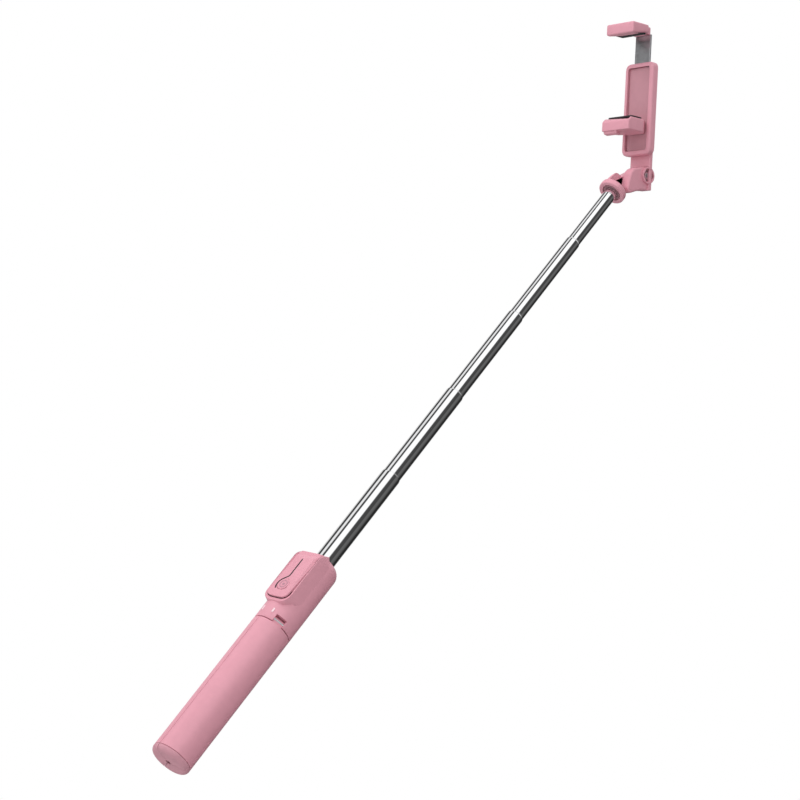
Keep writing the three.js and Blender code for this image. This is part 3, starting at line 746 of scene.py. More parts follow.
    def housing_round(self) -> Shell:
        """Round body of the housing, with the three hinge windows and the remote's pocket.

        The outside is a radius over turn and height: the shoulder's quarter round, and where a
        window or the pocket lies, the distance of its flat floor divided by the cosine of the turn.

        Returns:
            The skin, whose rows go up the outside and down the bore.
        """
        edge = math.degrees(math.asin(self.window_half / self.radius))
        middles = np.degrees([self.leg_angle(n) for n in range(1, self.leg_count + 1)])
        beside = edge + self.window_wall_turn
        near = np.concatenate([np.linspace(-edge, edge, 9), [-beside, beside]])
        every = np.concatenate([np.linspace(-180, 179, 360), (middles[:, None] + near).ravel()])
        turns = np.unique(every % 360)
        inset, rise = quarter(self.shoulder, 18)
        pocket_low, pocket_high = self.pocket_span()
        step, rim = self.ledge, self.rim_edge
        foot = [self.low, self.low + rim, self.low + 2 * rim]
        straight = [*foot, self.window_top, self.window_top + step, self.band_line, self.band_top]
        pocket = [pocket_low, pocket_low + step, *np.linspace(146, self.top - self.shoulder, 12)]
        heights = np.concatenate([straight, pocket, (self.top - rise)[::-1][1:]])
        upright = np.full(len(straight) + len(pocket), self.radius)
        radii = np.concatenate([upright, (self.radius - inset)[::-1][1:]])
        radii[:2] -= (rim, 0.3 * rim)
        extra = np.array([pocket_high, pocket_high + step])
        radii = np.concatenate([radii, np.interp(extra, heights, radii)])
        heights = np.concatenate([heights, extra])
        order = np.argsort(heights, kind="stable")
        heights, radii = heights[order], radii[order]
        grid = np.broadcast_to(radii[:, None], (len(heights), len(turns))).copy()
        for middle in middles:
            off = np.radians((turns - middle + 180) % 360 - 180)
            across = np.abs(np.degrees(off)) <= edge + 0.01
            inside = across[None] & (heights <= self.window_top)[:, None]
            grid = np.where(inside, np.minimum(grid, self.window_floor / np.cos(off)[None]), grid)
        front = math.degrees(math.atan2(FRONT.axes[2][1], FRONT.axes[2][0]))
        facing = np.radians((turns - front + 180) % 360 - 180)
        rows_in = (heights > pocket_low + step / 2) & (heights < pocket_high + step / 2)
        inside = (np.abs(facing) < math.radians(self.pocket_turn))[None] & rows_in[:, None]
        floor = self.pocket_floor / np.maximum(np.cos(facing), 0.2)
        grid = np.where(inside, np.minimum(grid, floor[None]), grid)
        mouth = np.array([self.bore + rim, self.bore, self.bore, self.bore])
        levels = np.concatenate([heights, [self.top, self.top - rim, self.low + rim, self.low]])
        grid = np.concatenate([grid, np.broadcast_to(mouth[:, None], (len(mouth), len(turns)))])
        flat = grid[..., None] * directions(np.radians(turns))
        return shell(raised(flat, levels), STICK, looped=True)

    def pocket_span(self) -> tuple[float, float]:
        """Heights between which the housing's round is cut back to the pocket's floor."""
        return FRONT.measure("remote_base")[0][1] - 1.2, self.top - 0.1

    def dock(self) -> Shell:
        """Rim round the remote's sides and bottom, open at the top, and rolled back there.

        A slab of a U-shaped outline. With s the share of the way from the face to the back, the
        outer side stands out by spread * s^1.3, and depths are stretched so that the back follows
        the housing's bore: sqrt(bore^2 - x^2). Near the top the back also sinks by s^1.2, so that
        it stays inside the housing's shoulder.

        Returns:
            The skin.
        """
        low, high = FRONT.measure("remote_base")
        half, bottom = high[0] + self.remote_gap, low[1] - self.remote_gap
        wide, base = half + self.dock_lip, bottom - self.dock_lip - self.dock_sill
        run = self.dock_run
        rise = np.linspace(self.top - run, self.top - self.dock_short, 9)
        outer, inner = self.dock_corner, self.dock_inner_corner
        corners = [
            *((-wide, z) for z in rise[::-1]),
            (-wide, base, outer),
            (wide, base, outer),
            *((wide, z) for z in rise),
            *((half, z) for z in rise[::-1]),
            (half, bottom, inner),
            (-half, bottom, inner),
            *((-half, z) for z in rise),
        ]
        outline = Outline.through(softened(corners, 9))
        rows = slab_rows(outline, self.dock_back, self.dock_face, self.dock_edge)
        x, z = rows[..., 0].copy(), rows[..., 1].copy()
        share = (self.dock_face - rows[..., 2]) / (self.dock_face - self.dock_back)
        spread = self.dock_spread * np.clip(share, 0, 1) ** 1.3
        beside = np.clip((np.abs(x) - half - 0.4) / (self.dock_lip - 0.8), 0, 1)
        below = np.clip((bottom - 0.4 - z) / (self.dock_lip + 0.2), 0, 1)
        near_top = np.clip((z - self.top + run) / (run - self.dock_short), 0, 1)
        rows[..., 0] += np.sign(x) * spread * beside
        rows[..., 1] -= 1.5 * spread * below + self.dock_sink * np.clip(share, 0, 1) ** 1.2 * near_top
        deep = np.sqrt(np.maximum((self.bore + self.bore_clearance) ** 2 - x**2, self.dock_back**2))
        rows[..., 2] = self.dock_face - share * (self.dock_face - deep)
        return shell(rolled_back(rows, self.top - 1, self.dock_top_rounding), FRONT)

    def front_bar(self) -> None:
        """Builds the plain bar under the remote.

        It is a slab wrapped round the handle, so that its place across, x, turns into x / radius.
        """
        low, high = FRONT.measure("front_bar")
        outline = Outline.box((low[0], low[1]), (high[0], high[1]), 0.9)
        rows = slab_rows(outline, self.radius - 0.4, high[2], 0.18)
        turn, depth = rows[..., 0] / self.radius, rows[..., 2].copy()
        rows[..., 0] = depth * np.sin(turn)
        rows[..., 2] = depth * np.cos(turn)
        make_piece("front_bar_skin", [shell(rows, FRONT)], PALE_PINK, "handle", "front_bar")

    def build(self) -> None:
        """Builds every piece of the handle."""
        self.legs()
        self.feet()
        make_piece("housing_skin", [self.housing_round(), self.dock()], SATIN_PINK, "handle", "upper_housing")
        self.front_bar()
        dress(BLACK_NYLON, "guide_tube")
        dress(BRIGHT_STEEL, *(f"hinge_pin_{n}" for n in range(1, self.leg_count + 1)))


def rolled_back(rows: Array, top: float, rounding: float) -> Array:
    """Rows whose depth, the third coordinate, falls away near the top.

    Args:
        rows: Points with the height second and the depth third.
        top: Height where the surface would be level with the pole.
        rounding: Radius of the roll.

    Returns:
        The moved rows.
    """
    moved = rows.copy()
    moved[..., 2] -= roll_fall(rows[..., 1], top, rounding, 0.96)
    return moved


@dataclass
class Remote:
    """Docked remote: base and cover, a dark strip of painted groove shade that runs round the button, and the
    parts inside.
    """

    corner: float = 7.0
    top_corner: float = 3.0
    top_rounding: float = 8.5
    edge: float = 0.4
    button_gap: float = 0.3
    button_wall: float = 1.5
    groove_width: float = 1.25
    groove_middle: float = -0.3
    ring_outer: float = 3.35
    ring_inner: float = 2.75
    dot_radius: float = 1.1
    front_rows: int = 26
    roof_rise: float = -3.0

    def __post_init__(self) -> None:
        """Measures the remote from the frame."""
        self.base_low, self.base_high = FRONT.measure("remote_base")
        self.cover_low, self.cover_high = FRONT.measure("remote_cover")
        low, high = FRONT.measure("shutter_button")
        self.button_low, self.button_high = low, high
        self.roof = float(self.base_high[1]) + self.roof_rise
        self.button_centre = (float(low[0] + high[0]) / 2, float(low[1] + high[1]) / 2)
        self.button_radius = float(high[0] - low[0]) / 2

    def outline(self, top: float, steps: int = 12) -> Outline:
        """Outline of the remote seen from the front, up to a given height."""
        half, bottom = self.base_high[0], self.base_low[1]
        corners = [
            (-half, bottom, self.corner),
            (half, bottom, self.corner),
            (half, top, self.top_corner),
            (-half, top, self.top_corner),
        ]
        return Outline.through(softened(corners, steps))

    def squeezed(self, rows: Array, back: float, front: float) -> Array:
        """Rows pressed towards their back near the top, so that the front follows the roll.

        The depth is back + (depth - back) * (rolled front - back) / (front - back).

        Args:
            rows: Points of one half of the case.
            back: Depth of its back.
            front: Depth of its front.

        Returns:
            The moved rows.
        """
        limit = self.cover_high[2] - roll_fall(rows[..., 1], self.roof, self.top_rounding, 0.98)
        factor = np.clip((np.minimum(limit, front) - back) / (front - back), 0.06, 1)
        pressed = rows.copy()
        pressed[..., 2] = back + (rows[..., 2] - back) * factor
        return pressed

    def base(self) -> Shell:
        """Back half of the case."""
        back, front = self.base_low[2], self.base_high[2]
        rows = slab_rows(self.outline(self.base_high[1]), back, front, 0.3)
        return shell(self.squeezed(rows, back, front), FRONT)

    def cover(self) -> Shell:
        """Front half of the case, with a round hole for the button.

        The sides go up the outline. Across the front the rows run straight from the outline to
        the hole's circle, and then down the hole's wall.

        Returns:
            The skin.
        """
        back, front = self.cover_low[2], self.cover_high[2]
        outline = self.outline(self.cover_high[1])
        inset, rise = quarter(self.edge, 7)
        low_inset, low_rise = quarter(0.25, 4)
        sides = raised(
            outline.inset(np.concatenate([low_inset, inset[::-1]])),
            np.concatenate([back + low_rise, front - rise[::-1]]),
        )
        hole_radius = self.button_radius + self.button_gap
        hole = outline.seen_from(self.button_centre, hole_radius)
        away = (hole - np.array(self.button_centre)) / hole_radius
        share = np.linspace(0, 1, self.front_rows)[1:, None, None]
        rim = sides[-1, :, :2]
        lip_inset, lip_rise = quarter(0.2, 4)
        across = raised(rim + (hole + away * 0.2 - rim) * share, np.full(self.front_rows - 1, front))
        lip = raised(hole + away * lip_inset[:, None, None], front - lip_rise)
        wall = raised(np.stack([hole, hole]), np.array([front - 0.5, front - self.button_wall]))
        under = raised((hole + away * 0.8)[None], np.array([front - self.button_wall]))
        rows = np.concatenate([sides, across, lip, wall, under])
        return shell(self.squeezed(rows, back, front), FRONT, looped=True)

    def groove(self) -> Shell:
        """Painted shade of the groove: a dark flat strip laid on the cover along a path of a straight run and
        two curves.

        The path is a line, a cubic curve round the left of the button and a quadratic curve under
        it. The strip's section is a flat round: half width * sign(cos a) sqrt|cos a| across.

        Returns:
            The skin.
        """
        x, y = self.button_centre
        t = np.linspace(0, 1, 16)[:, None]
        bend, side = (self.groove_middle, y + 9), (x - 6.1, y - 0.2)
        straight = curve_through(t, (self.groove_middle, y + 25.8), bend)
        round_side = curve_through(t, bend, (2 * self.groove_middle, y + 6.4), (x - 5.9, y + 4.9), side)
        under = curve_through(t, side, (x - 6.1, y - 3), (x - 4.6, y - 5))
        path = np.concatenate([straight, round_side[1:], under[1:]])
        along = np.gradient(path, axis=0)
        along /= np.linalg.norm(along, axis=1)[:, None]
        across = np.stack([-along[:, 1], along[:, 0]], 1)
        angle = np.linspace(0, 2 * math.pi, 16, endpoint=False)
        wide, tall = (np.sign(v) * np.sqrt(np.abs(v)) for v in (np.cos(angle), np.sin(angle)))
        ends = np.sqrt(np.clip(1 - np.linspace(-1, 1, len(path)) ** 40, 0.05, 1))
        half = self.groove_width / 2 * ends
        flat = path[:, None] + across[:, None] * (half[:, None] * wide)[..., None]
        depth = self.cover_high[2] - 0.02 + 0.1 * tall
        depths = np.broadcast_to(depth[None, :, None], flat.shape[:2] + (1,))
        rows = np.concatenate([flat, depths], axis=2)
        return shell(rolled_back(rows, self.roof, self.top_rounding), FRONT)

    def mark(self) -> Shell:
        """Thin printed ring on the button."""
        outer = Outline.circle(self.ring_outer, self.button_centre)
        inner = Outline.circle(self.ring_inner, self.button_centre)
        face = float(self.button_high[2])
        return shell(holed_rows(outer, inner, face - 0.4, face - 0.14, 0.05), FRONT, looped=True)

    def dot(self) -> Shell:
        """Printed dot in the middle of that ring."""
        face = float(self.button_high[2])
        return rod(self.dot_radius, face - 0.4, face - 0.18, self.button_centre, 0.05, FRONT)

    def button(self) -> Shell:
        """Shutter button: a disc with a shallow dish turned into its face."""
        r, front, back = self.button_radius, self.button_high[2], self.button_low[2]
        corners = [
            (0.2, back),
            (r, back, 0.2),
            (r, front, 0.35),
            (r - 1.0, front, 0.3),
            (r - 1.6, front - 0.2, 0.3),
            (0.2, front - 0.26),
        ]
        profile = softened(corners, closed=False)
        flat = profile[:, :1, None] * Outline.circle(1.0).points + np.array(self.button_centre)
        return shell(raised(flat, profile[:, 1]), FRONT)

    def build(self) -> None:
        """Builds every piece of the remote."""
        make_piece("remote_base_skin", [self.base()], SATIN_PINK, "remote", "remote_base")
        make_piece("remote_cover_skin", [self.cover()], SATIN_PINK, "remote", "remote_cover")
        # The groove is drawn as a black strip on the cover: painted shade of the groove.
        make_piece("groove_painted_shade_strip", [self.groove()], BLACK_NYLON, "remote", "groove_strip")
        make_piece("shutter_button_skin", [self.button()], BUTTON_PINK, "button", "shutter_button")
        make_piece("shutter_mark", [self.mark(), self.dot()], PRINT_GREY, "button")
        dress(BOARD_GREEN, "remote_board")
        dress(BRIGHT_STEEL, "tact_switch", "coin_cell")


@dataclass
class Pole:
    """Five chromed tubes that slide in each other on nylon bushes."""

    count: int = 5
    wall: float = 0.33
    taper_length: float = 1.6
    taper_depth: float = 0.22
    rim_edge: float = 0.1

    def tube(self, number: int) -> Shell:
        """One tube: its wall carried round the pole.

        The mouth is swaged in by depth * sin^2 of the share of the taper.

        Args:
            number: Which tube, counted from the handle.

        Returns:
            The skin.
        """
        low, high = STICK.measure(f"tube_{number}")
        radius, bottom, top = high[0], low[2], high[2]
        last = number == self.count
        share = np.linspace(0, 1, 10)
        narrowing = 0 if last else self.taper_depth
        taper = radius - narrowing * np.sin(share * math.pi / 2) ** 2
        mouth = np.stack([taper, top - self.taper_length * (1 - share)], 1)
        inner, rim = radius - self.wall, self.rim_edge
        run = np.linspace(bottom, top - self.taper_length, 9)[:-1]
        side = np.stack([np.full(len(run), radius), run + rim], 1)
        narrow = radius - narrowing
        lip = [[narrow, top - rim], [narrow - 0.07, top], [inner, top], [inner, bottom]]
        profile = np.concatenate([[[radius - rim, bottom]], side, mouth[:-1], lip])
        return turned(profile, STICK, looped=True, count=128)

    def build(self) -> None:
        """Builds the tubes and finishes the parts inside them."""
        for number in range(1, self.count + 1):
            make_piece(f"tube_skin_{number}", [self.tube(number)], CHROME, f"pole_{number}", f"tube_{number}")
        dress(BLACK_NYLON, *(f"slide_bush_{n}" for n in range(1, self.count + 1)), "end_plug")
        # The clip's dark pink is painted shade of the dish round the tube.
        dress(CLIP_DISH_SHADE_PINK, "swivel_clip")
        dress(BRIGHT_STEEL, "end_rivet")


@dataclass
class Swivel:
    """Turning hub on the end of the pole: a dished flange, a ribbed half dome and the fixed ear."""

    bore: float = 5.9
    dish_radius: float = 8.3
    dish_depth: float = 2.3
    flange_height: float = 5.5
    dome_radius: float = 9.2
    dome_height: float = 14.2
    ribs: int = 7
    rib_radius: float = 1.5
    rib_first: float = 118.0
    rib_last: float = 262.0
    rib_lean: float = 0.2
    core: float = 0.8
    sunk: float = 1.0
    ear_gap: float = 0.3
    ear_foot: float = 7.6
    knuckle: float = 6.7
    bore_depth: float = 3.9
    screw_proud: float = 2.9

    def flange(self) -> Shell:
        """Flange turned about the pole, with the dish that its clip sits in."""
        rim = float(SWIVEL.measure("swivel_hub")[1][0])
        top = self.flange_height
        corners = [
            (0.3, self.bore_depth),
            (self.bore, self.bore_depth, 0.2),
            (self.bore, self.dish_depth, 0.2),
            (self.dish_radius, self.dish_depth, 0.4),
            (self.dish_radius, 0, 0.5),
            (rim - 0.2, 0, 1.0),
            (rim, top * 0.5, 1.2),
            (rim - 0.3, top, 2.0),
            (0.3, top),
        ]
        return turned(softened(corners, closed=False), SWIVEL)

    def dome(self) -> Shell:
        """Half dome with ribs, cut flat on its right.

        The radius at a turn is the dome's, or a rib's where that is further out: for a rib at the
        dome's rim, d cos u + sqrt(rib^2 - d^2 sin^2 u). With h the share of the height, the body
        shrinks as sqrt(1 - (h / 0.9)^4), the ribs lean in evenly and close at their tips as
        sqrt(1 - 0.98 h^12), and points right of the gap move back to it.

        Returns:
            The skin.
        """
        turn = np.radians(np.linspace(0, 360, 360, endpoint=False))
        share = np.sin(np.linspace(0, math.pi / 2, 22))
        centres = np.radians(np.linspace(self.rib_first, self.rib_last, self.ribs))
        off = turn[:, None] - centres[None]
        reach = self.rib_radius**2 - (self.dome_radius * np.sin(off)) ** 2
        near = (reach > 0) & (np.cos(off) > 0)
        crest = self.dome_radius * np.cos(off) + np.sqrt(np.maximum(reach, 0))
        rib = np.where(near, crest, 0).max(axis=1)
        up = share[:, None]
        body = self.core * self.dome_radius * np.sqrt(np.clip(1 - (up / 0.9) ** 4, 0.02, 1))
        tip = np.sqrt(np.clip(1 - 0.98 * up**12, 0, 1))
        radius = np.maximum(body, rib[None] * (1 - self.rib_lean * up) * tip)
        flat = radius[..., None] * directions(turn)
        flat[..., 0] = np.minimum(flat[..., 0], -self.ear_gap)
        heights = self.flange_height - self.sunk + (self.dome_height + self.sunk) * share
        return shell(raised(flat, heights), SWIVEL)

    def ear(self) -> Shell:
        """Fixed ear: a strap from the hub up to the tilt axis, ending in a round knuckle.

        Returns:
            The skin.
        """
        axis = np.array(HEAD.origin[1:]) - np.array(SWIVEL.origin[1:])
        foot = np.array((0.0, self.flange_height - self.sunk))
        lean = math.atan2(axis[1] - foot[1], axis[0] - foot[0])
        turn = np.linspace(lean - math.pi / 2, lean + math.pi / 2, 30)
        knuckle = axis + self.knuckle * directions(turn)
        feet = np.array([(-self.ear_foot, foot[1]), (self.ear_foot, foot[1])])
        outline = Outline.through(np.concatenate([knuckle, feet]))
        outer = HEAD.measure("hinge_screw")[0][0] + self.screw_proud
        return slab(outline, float(outer), -self.ear_gap, 0.7, SWIVEL.pushed(Along.X))

    def build(self) -> None:
        """Builds the hub."""
        hub = [self.flange(), self.dome(), self.ear()]
        make_piece("swivel_skin", hub, SATIN_PINK, "swivel", "swivel_hub")


@dataclass
class Neck:
    """Tilting arm: an ear with a boss and a hexagonal recess, and the plate behind the tray."""

    ear_gap: float = 0.3
    ear_outer: float = 9.6
    boss: float = 7.2
    boss_face: float = 11.7
    recess_radius: float = 6.5
    ear_edge: float = 2.0
    recess_depth: float = 5.2
    plate_front: float = 0.5
    plate_back: float = 4.3
    pivot_height: float = 54.0
    pivot_radius: float = 1.9
    pivot_head: float = 1.6
    web_bottom: float = -12.6
    web_side: float = 11.3
    shank: float = 2.5
    nut_bore: float = 2.8
    screw_head: float = 2.6
    slot_depth: float = 0.9

    def ear(self) -> Shell:
        """Ear seen from the side as a drop that hangs forwards, pushed across x."""
        corners = [
            (self.plate_back, self.web_bottom, 3),
            (self.plate_back, self.boss, 4),
            (-4, self.boss, 4),
            (-16.2, 4.4, 6),
            (-20.4, 0.6, 6),
            (-24.2, -14.4, 5),
            (-20.5, -18.1, 5),
            (-8, -13.6, 6),
        ]
        outline = Outline.through(softened(corners, 8))
        return slab(outline, self.ear_gap, self.ear_outer, self.ear_edge, HEAD.pushed(Along.X))

    def boss_cup(self) -> Shell:
        """Boss with its recess: a circle carried out, over its rim and down a hexagon.

        Returns:
            The skin.
        """
        circle = Outline.circle(self.boss, count=96)
        turn = np.arctan2(circle.points[:, 1], circle.points[:, 0])
        hexagon = circle.steps * hexagon_reach(turn, self.recess_radius)[:, None]
        inset, rise = quarter(0.35)
        levels = np.array([self.ear_gap, *(self.boss_face - rise[::-1])])
        outside = raised(circle.inset(np.concatenate([[0.8], inset[::-1]])), levels)
        floor = self.boss_face - self.recess_depth
        levels = np.array([self.boss_face, self.boss_face - 0.15, floor, floor])
        shrink = np.array([1.03, 1.0, 1.0, 0.97])
        inside = raised(hexagon[None] * shrink[:, None, None], levels)
        return shell(np.concatenate([outside, inside]), HEAD.pushed(Along.X))

    def plate(self) -> Shell:
        """Plate behind the tray, rounded at its top."""
        high = HEAD.measure("neck_arm")[1]
        half, bottom = high[0] - 0.4, self.boss + 0.1
        corners = [(-half, bottom, 0.8), (half, bottom, 0.8), (half, high[2], 8), (-half, high[2], 8)]
        outline = Outline.through(softened(corners, 10))
        return slab(outline, self.plate_front, self.plate_back, 0.9, HEAD.pushed(Along.Y))

    def tail(self) -> Shell:
        """Short web that joins the plate to the ear behind the boss."""
        outline = Outline.box((self.ear_gap, self.web_bottom), (self.web_side, self.boss + 1.5), 1.0)
        return slab(outline, self.plate_front, self.plate_back, 0.8, HEAD.pushed(Along.Y))

    def fixings(self) -> None:
        """Builds the hinge's screw and nut, and the rivet that the clamp turns on."""
        side = HEAD.pushed(Along.X)
        low, high = HEAD.measure("hinge_screw")
        head_radius, face, end = float(high[2]), low[0], high[0]
        corners = [
            (0.3, face + self.slot_depth),
            (1.6, face + self.slot_depth, 0.2),
            (2.0, face, 0.3),
            (head_radius, face, 0.8),
            (head_radius, face + self.screw_head, 0.2),
            (self.shank, face + self.screw_head, 0.2),
            (self.shank, end, 0.4),
            (0.3, end),
        ]
        screw = turned(softened(corners, closed=False), side, count=64)
        make_piece("hinge_screw_skin", [screw], BRIGHT_STEEL, "neck", "hinge_screw")
        low, high = HEAD.measure("hinge_nut")
        turn = np.linspace(0, 2 * math.pi, 96, endpoint=False)
        unit = directions(turn)
        outer = Outline(unit * hexagon_reach(turn, high[1])[:, None], unit)
        inner = Outline(unit * self.nut_bore, unit)
        nut = holed_rows(outer, inner, float(low[0]), float(high[0]), 0.3)
        # The nut's dark mauve is painted shade of the boss's recess.
        make_piece("hinge_nut_skin", [shell(nut, side, looped=True)], NUT_RECESS_SHADE, "neck", "hinge_nut")
        low, high = HEAD.measure("turn_pivot")
        back, middle, end = HEAD.pushed(Along.Y), (0, self.pivot_height), float(high[1])
        stem = rod(self.pivot_radius, float(low[1]), end - 1, middle, 0.2, back)
        head = rod(float(high[0]), end - self.pivot_head, end, middle, 0.7, back)
        make_piece("turn_pivot_skin", [stem, head], BRIGHT_STEEL, "neck", "turn_pivot")

    def build(self) -> None:
        """Builds every piece of the arm."""
        arm = [self.ear(), self.boss_cup(), self.plate(), self.tail()]
        make_piece("arm_skin", arm, SATIN_PINK, "neck", "neck_arm")
        self.fixings()


@dataclass
class Clamp:
    """Phone clamp: tray and cover, fixed lower jaw, and the sprung slider with the upper jaw."""

    tray_corner: float = 6.0
    tray_edge: float = 2.2
    tray_rim: float = 3.8
    well_step: float = 0.8
    tray_floor: float = 1.1
    tray_bevel: float = 0.9
    panel_rim: float = 2.4
    panel_depth: float = 0.3
    jaw_back: float = -11.5
    stem_half: float = 8.5
    waist: float = 3.0
    jaw_corner: float = 2.4
    jaw_edge: float = 1.0
    upper_edge: float = 1.5
    chamfer_run: float = 3.4
    chamfer_drop: float = 3.2
    lip_drop: float = 3.0
    lip_root: float = 4.2
    lip_run: float = 3.6
    lug_low: float = 70.0
    lug_high: float = 72.0
    coil_pitch: float = 0.62
    wire: float = 0.19

    def tray(self) -> Shell:
        """Tray: from the well's floor up its stepped walls, over the rounded rim and round to the back.

        Returns:
            The skin.
        """
        low, high = HEAD.measure("clamp_tray")
        ledge = float(HEAD.measure("clamp_cover")[1][1]) + 0.3
        floor, front, back = high[1] - self.tray_floor, low[1], high[1]

        def ring(inset: float, corner: float) -> Outline:
            """Outline of the tray drawn in by a distance, with its own corner rounding."""
            return Outline.box((low[0] + inset, low[2] + inset), (high[0] - inset, high[2] - inset), corner)

        rim, bevel = self.tray_rim, self.tray_bevel
        step, rise = quarter(bevel)
        side, slope = quarter(self.tray_edge, 10)
        hem, lift = quarter(0.6)
        flat_from = self.tray_edge + FACE_SUPPORT
        flat = np.concatenate([
            ring(rim + self.well_step, 2.0).inset(np.array([0.3, 0.0, 0.0])),
            ring(rim, 2.6).inset(np.concatenate([[0.0], step[::-1] - bevel])),
            ring(0, self.tray_corner).inset(np.concatenate([[flat_from], side, hem[::-1], [0.7]])),
        ])
        heights = np.concatenate([
            [floor, floor, ledge, ledge],
            front + rise[::-1],
            [front],
            front + slope,
            back - lift[::-1],
            [back],
        ])
        return shell(raised(flat, heights), HEAD.pushed(Along.Y))

    def cover(self) -> Shell:
        """Cover plate in the tray, with a shallow panel pressed into its front.

        Returns:
            The skin.
        """
        low, high = HEAD.measure("clamp_cover")
        front, back, rim = low[1], high[1], self.panel_rim
        floor = front + self.panel_depth
        panel = Outline.box((low[0] + rim, low[2] + rim), (high[0] - rim, high[2] - rim), 1.6)
        outline = Outline.box((low[0], low[2]), (high[0], high[2]), 1.8)
        inside = panel.inset(np.array([0.5, 0.35, -0.3]))
        outside = outline.inset(np.array([0.35, 0.1, 0.0, 0.0, 0.1, 0.4]))
        flat = np.concatenate([inside, outside])
        sides = [front, front + 0.1, front + 0.35, back - 0.2, back, back]
        heights = np.array([floor, floor, front, *sides])
        return shell(raised(flat, heights), HEAD.pushed(Along.Y))

    def jaw_plan(self, node: str) -> Outline:
        """Jaw seen from above: wide where it holds the phone, with a narrower stem to the back.

        Args:
            node: CAD node of the jaw.

        Returns:
            The outline.
        """
        low, high = HEAD.measure(node)
        left, right, front, end = low[0], high[0], low[1], high[1]
        back, stem, slope = self.jaw_back, self.stem_half, front + self.chamfer_run
        waist = back + self.waist
        corners = [
            (left, slope),
            (left, front, self.jaw_corner),
            (right, front, self.jaw_corner),
            (right, slope),
            (right, back, 3),
            (stem, waist, 2),
            (stem, end, 0.4),
            (-stem, end, 0.4),
            (-stem, waist, 2),
            (left, back, 3),
        ]
        return Outline.through(softened(corners, 8))

    def lower_jaw(self) -> Shell:
        """Fixed jaw, whose top slopes down over the last stretch to its front.

        Heights are pressed so that the top is lower by drop * (1 - share of the chamfer's run).

        Returns:
            The skin.
        """
        low, high = HEAD.measure("lower_jaw")
        base = float(low[2]) + self.lip_drop
        rows = slab_rows(self.jaw_plan("lower_jaw"), base, float(high[2]), self.jaw_edge)
        fall = self.chamfer_drop * (1 - np.clip((rows[..., 1] - low[1]) / self.chamfer_run, 0, 1))
        rows[..., 2] = base + (rows[..., 2] - base) * (1 - fall / (high[2] - base))
        return shell(rows, HEAD)

    def lower_lip(self) -> Shell:
        """Rounded finger lip under the left of the lower jaw."""
        low, high = HEAD.measure("lower_jaw")
        bottom, front = float(low[2]), float(low[1])
        root = bottom + self.lip_root
        corners = [
            (front + 1.2, root),
            (front + 1.6, bottom + 0.8, 1.6),
            (front + 7, bottom, 1.6),
            (front + 7.4, root),
        ]
        outline = Outline.through(softened(corners))
        return slab(outline, float(low[0]) + 1.2, -1.0, 0.6, HEAD.pushed(Along.X))

    def upper_jaw(self) -> Shell:
        """Sliding jaw, with a lip that hooks down over the phone's front.

        The underside is raised to the inner face everywhere but under the lip, with a short slope.

        Returns:
            The skin.
        """
        low, high = HEAD.measure("upper_jaw")
        lip, inner = float(low[2]), float(HEAD.measure("upper_pad")[1][2]) + 0.3
        rows = slab_rows(self.jaw_plan("upper_jaw"), lip, float(high[2]), self.upper_edge)
        share = np.clip((rows[..., 1] - (low[1] + self.lip_run)) / 1.0, 0, 1)
        floor = lip + (inner - lip) * share
        rows[..., 2] = floor + (rows[..., 2] - lip) * (high[2] - floor) / (high[2] - lip)
        return shell(rows, HEAD)

    def plate(self, node: str, rounding: float, edge: float, along: Along) -> Shell:
        """Rounded slab that fills a CAD node's box.

        Args:
            node: The CAD node.
            rounding: Rounding of the outline's corners.
            edge: Radius of the rims.
            along: Direction that the outline is pushed along.

        Returns:
            The skin.
        """
        low, high = HEAD.measure(node)
        first, second, push = along.value
        outline = Outline.box((low[first], low[second]), (high[first], high[second]), rounding)
        return slab(outline, float(low[push]), float(high[push]), edge, HEAD.pushed(along))

    def slider(self) -> Shell:
        """Steel slider with the lug that the springs push on."""
        low, high = HEAD.measure("jaw_slider")
        stem, under, over = self.stem_half, self.lug_low, self.lug_high
        corners = [
            (-stem, low[2], 1),
            (stem, low[2], 1),
            (stem, under, 0.3),
            (high[0], under, 0.4),
            (high[0], over, 0.4),
            (stem, over, 0.3),
            (stem, high[2], 0.5),
            (-stem, high[2], 0.5),
            (-stem, over, 0.3),
            (low[0], over, 0.4),
            (low[0], under, 0.4),
            (-stem, under, 0.3),
        ]
        outline = Outline.through(softened(corners))
        return slab(outline, float(low[1]), float(high[1]), 0.3, HEAD.pushed(Along.Y))

    def coil(self, node: str) -> Shell:
        """Coil spring: a wire's circle carried along a helix.

        The middle line is (R cos a, R sin a, pitch * a / full turn). The circle lies in the plane
        of the outward and the upward direction.

        Args:
            node: CAD node of the spring.

        Returns:
            The skin.
        """
        low, high = HEAD.measure(node)
        centre = (low + high) / 2
        radius = (high[0] - low[0]) / 2 - self.wire
        length = high[2] - low[2] - 2 * self.wire
        turns = length / self.coil_pitch
        angle = np.linspace(0, 2 * math.pi * turns, int(turns) * 12)
        ring = np.linspace(0, 2 * math.pi, 6, endpoint=False)
        reach = radius + self.wire * np.cos(ring)[None]
        x = centre[0] + reach * np.cos(angle)[:, None]
        y = centre[1] + reach * np.sin(angle)[:, None]
        z = low[2] + self.wire + (angle / angle[-1] * length)[:, None] + self.wire * np.sin(ring)[None]
        return shell(np.stack([x, y, z], axis=2), HEAD)

    def springs(self) -> None:
        """Builds the two springs, each a coil between its anchor and the slider's lug."""
        for side in ("left", "right"):
            node = f"clamp_spring_{side}"
            low, high = HEAD.measure(node)
            spring = make_piece(f"coil_spring_{side}", [self.coil(node)], BRIGHT_STEEL, None, node)
            middle = (low + high) / 2
            ends = np.array([(middle[0], middle[1], low[2]), (middle[0], middle[1], high[2])])
            start, end = (Vector(p) for p in HEAD.put(ends))
            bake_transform(spring)

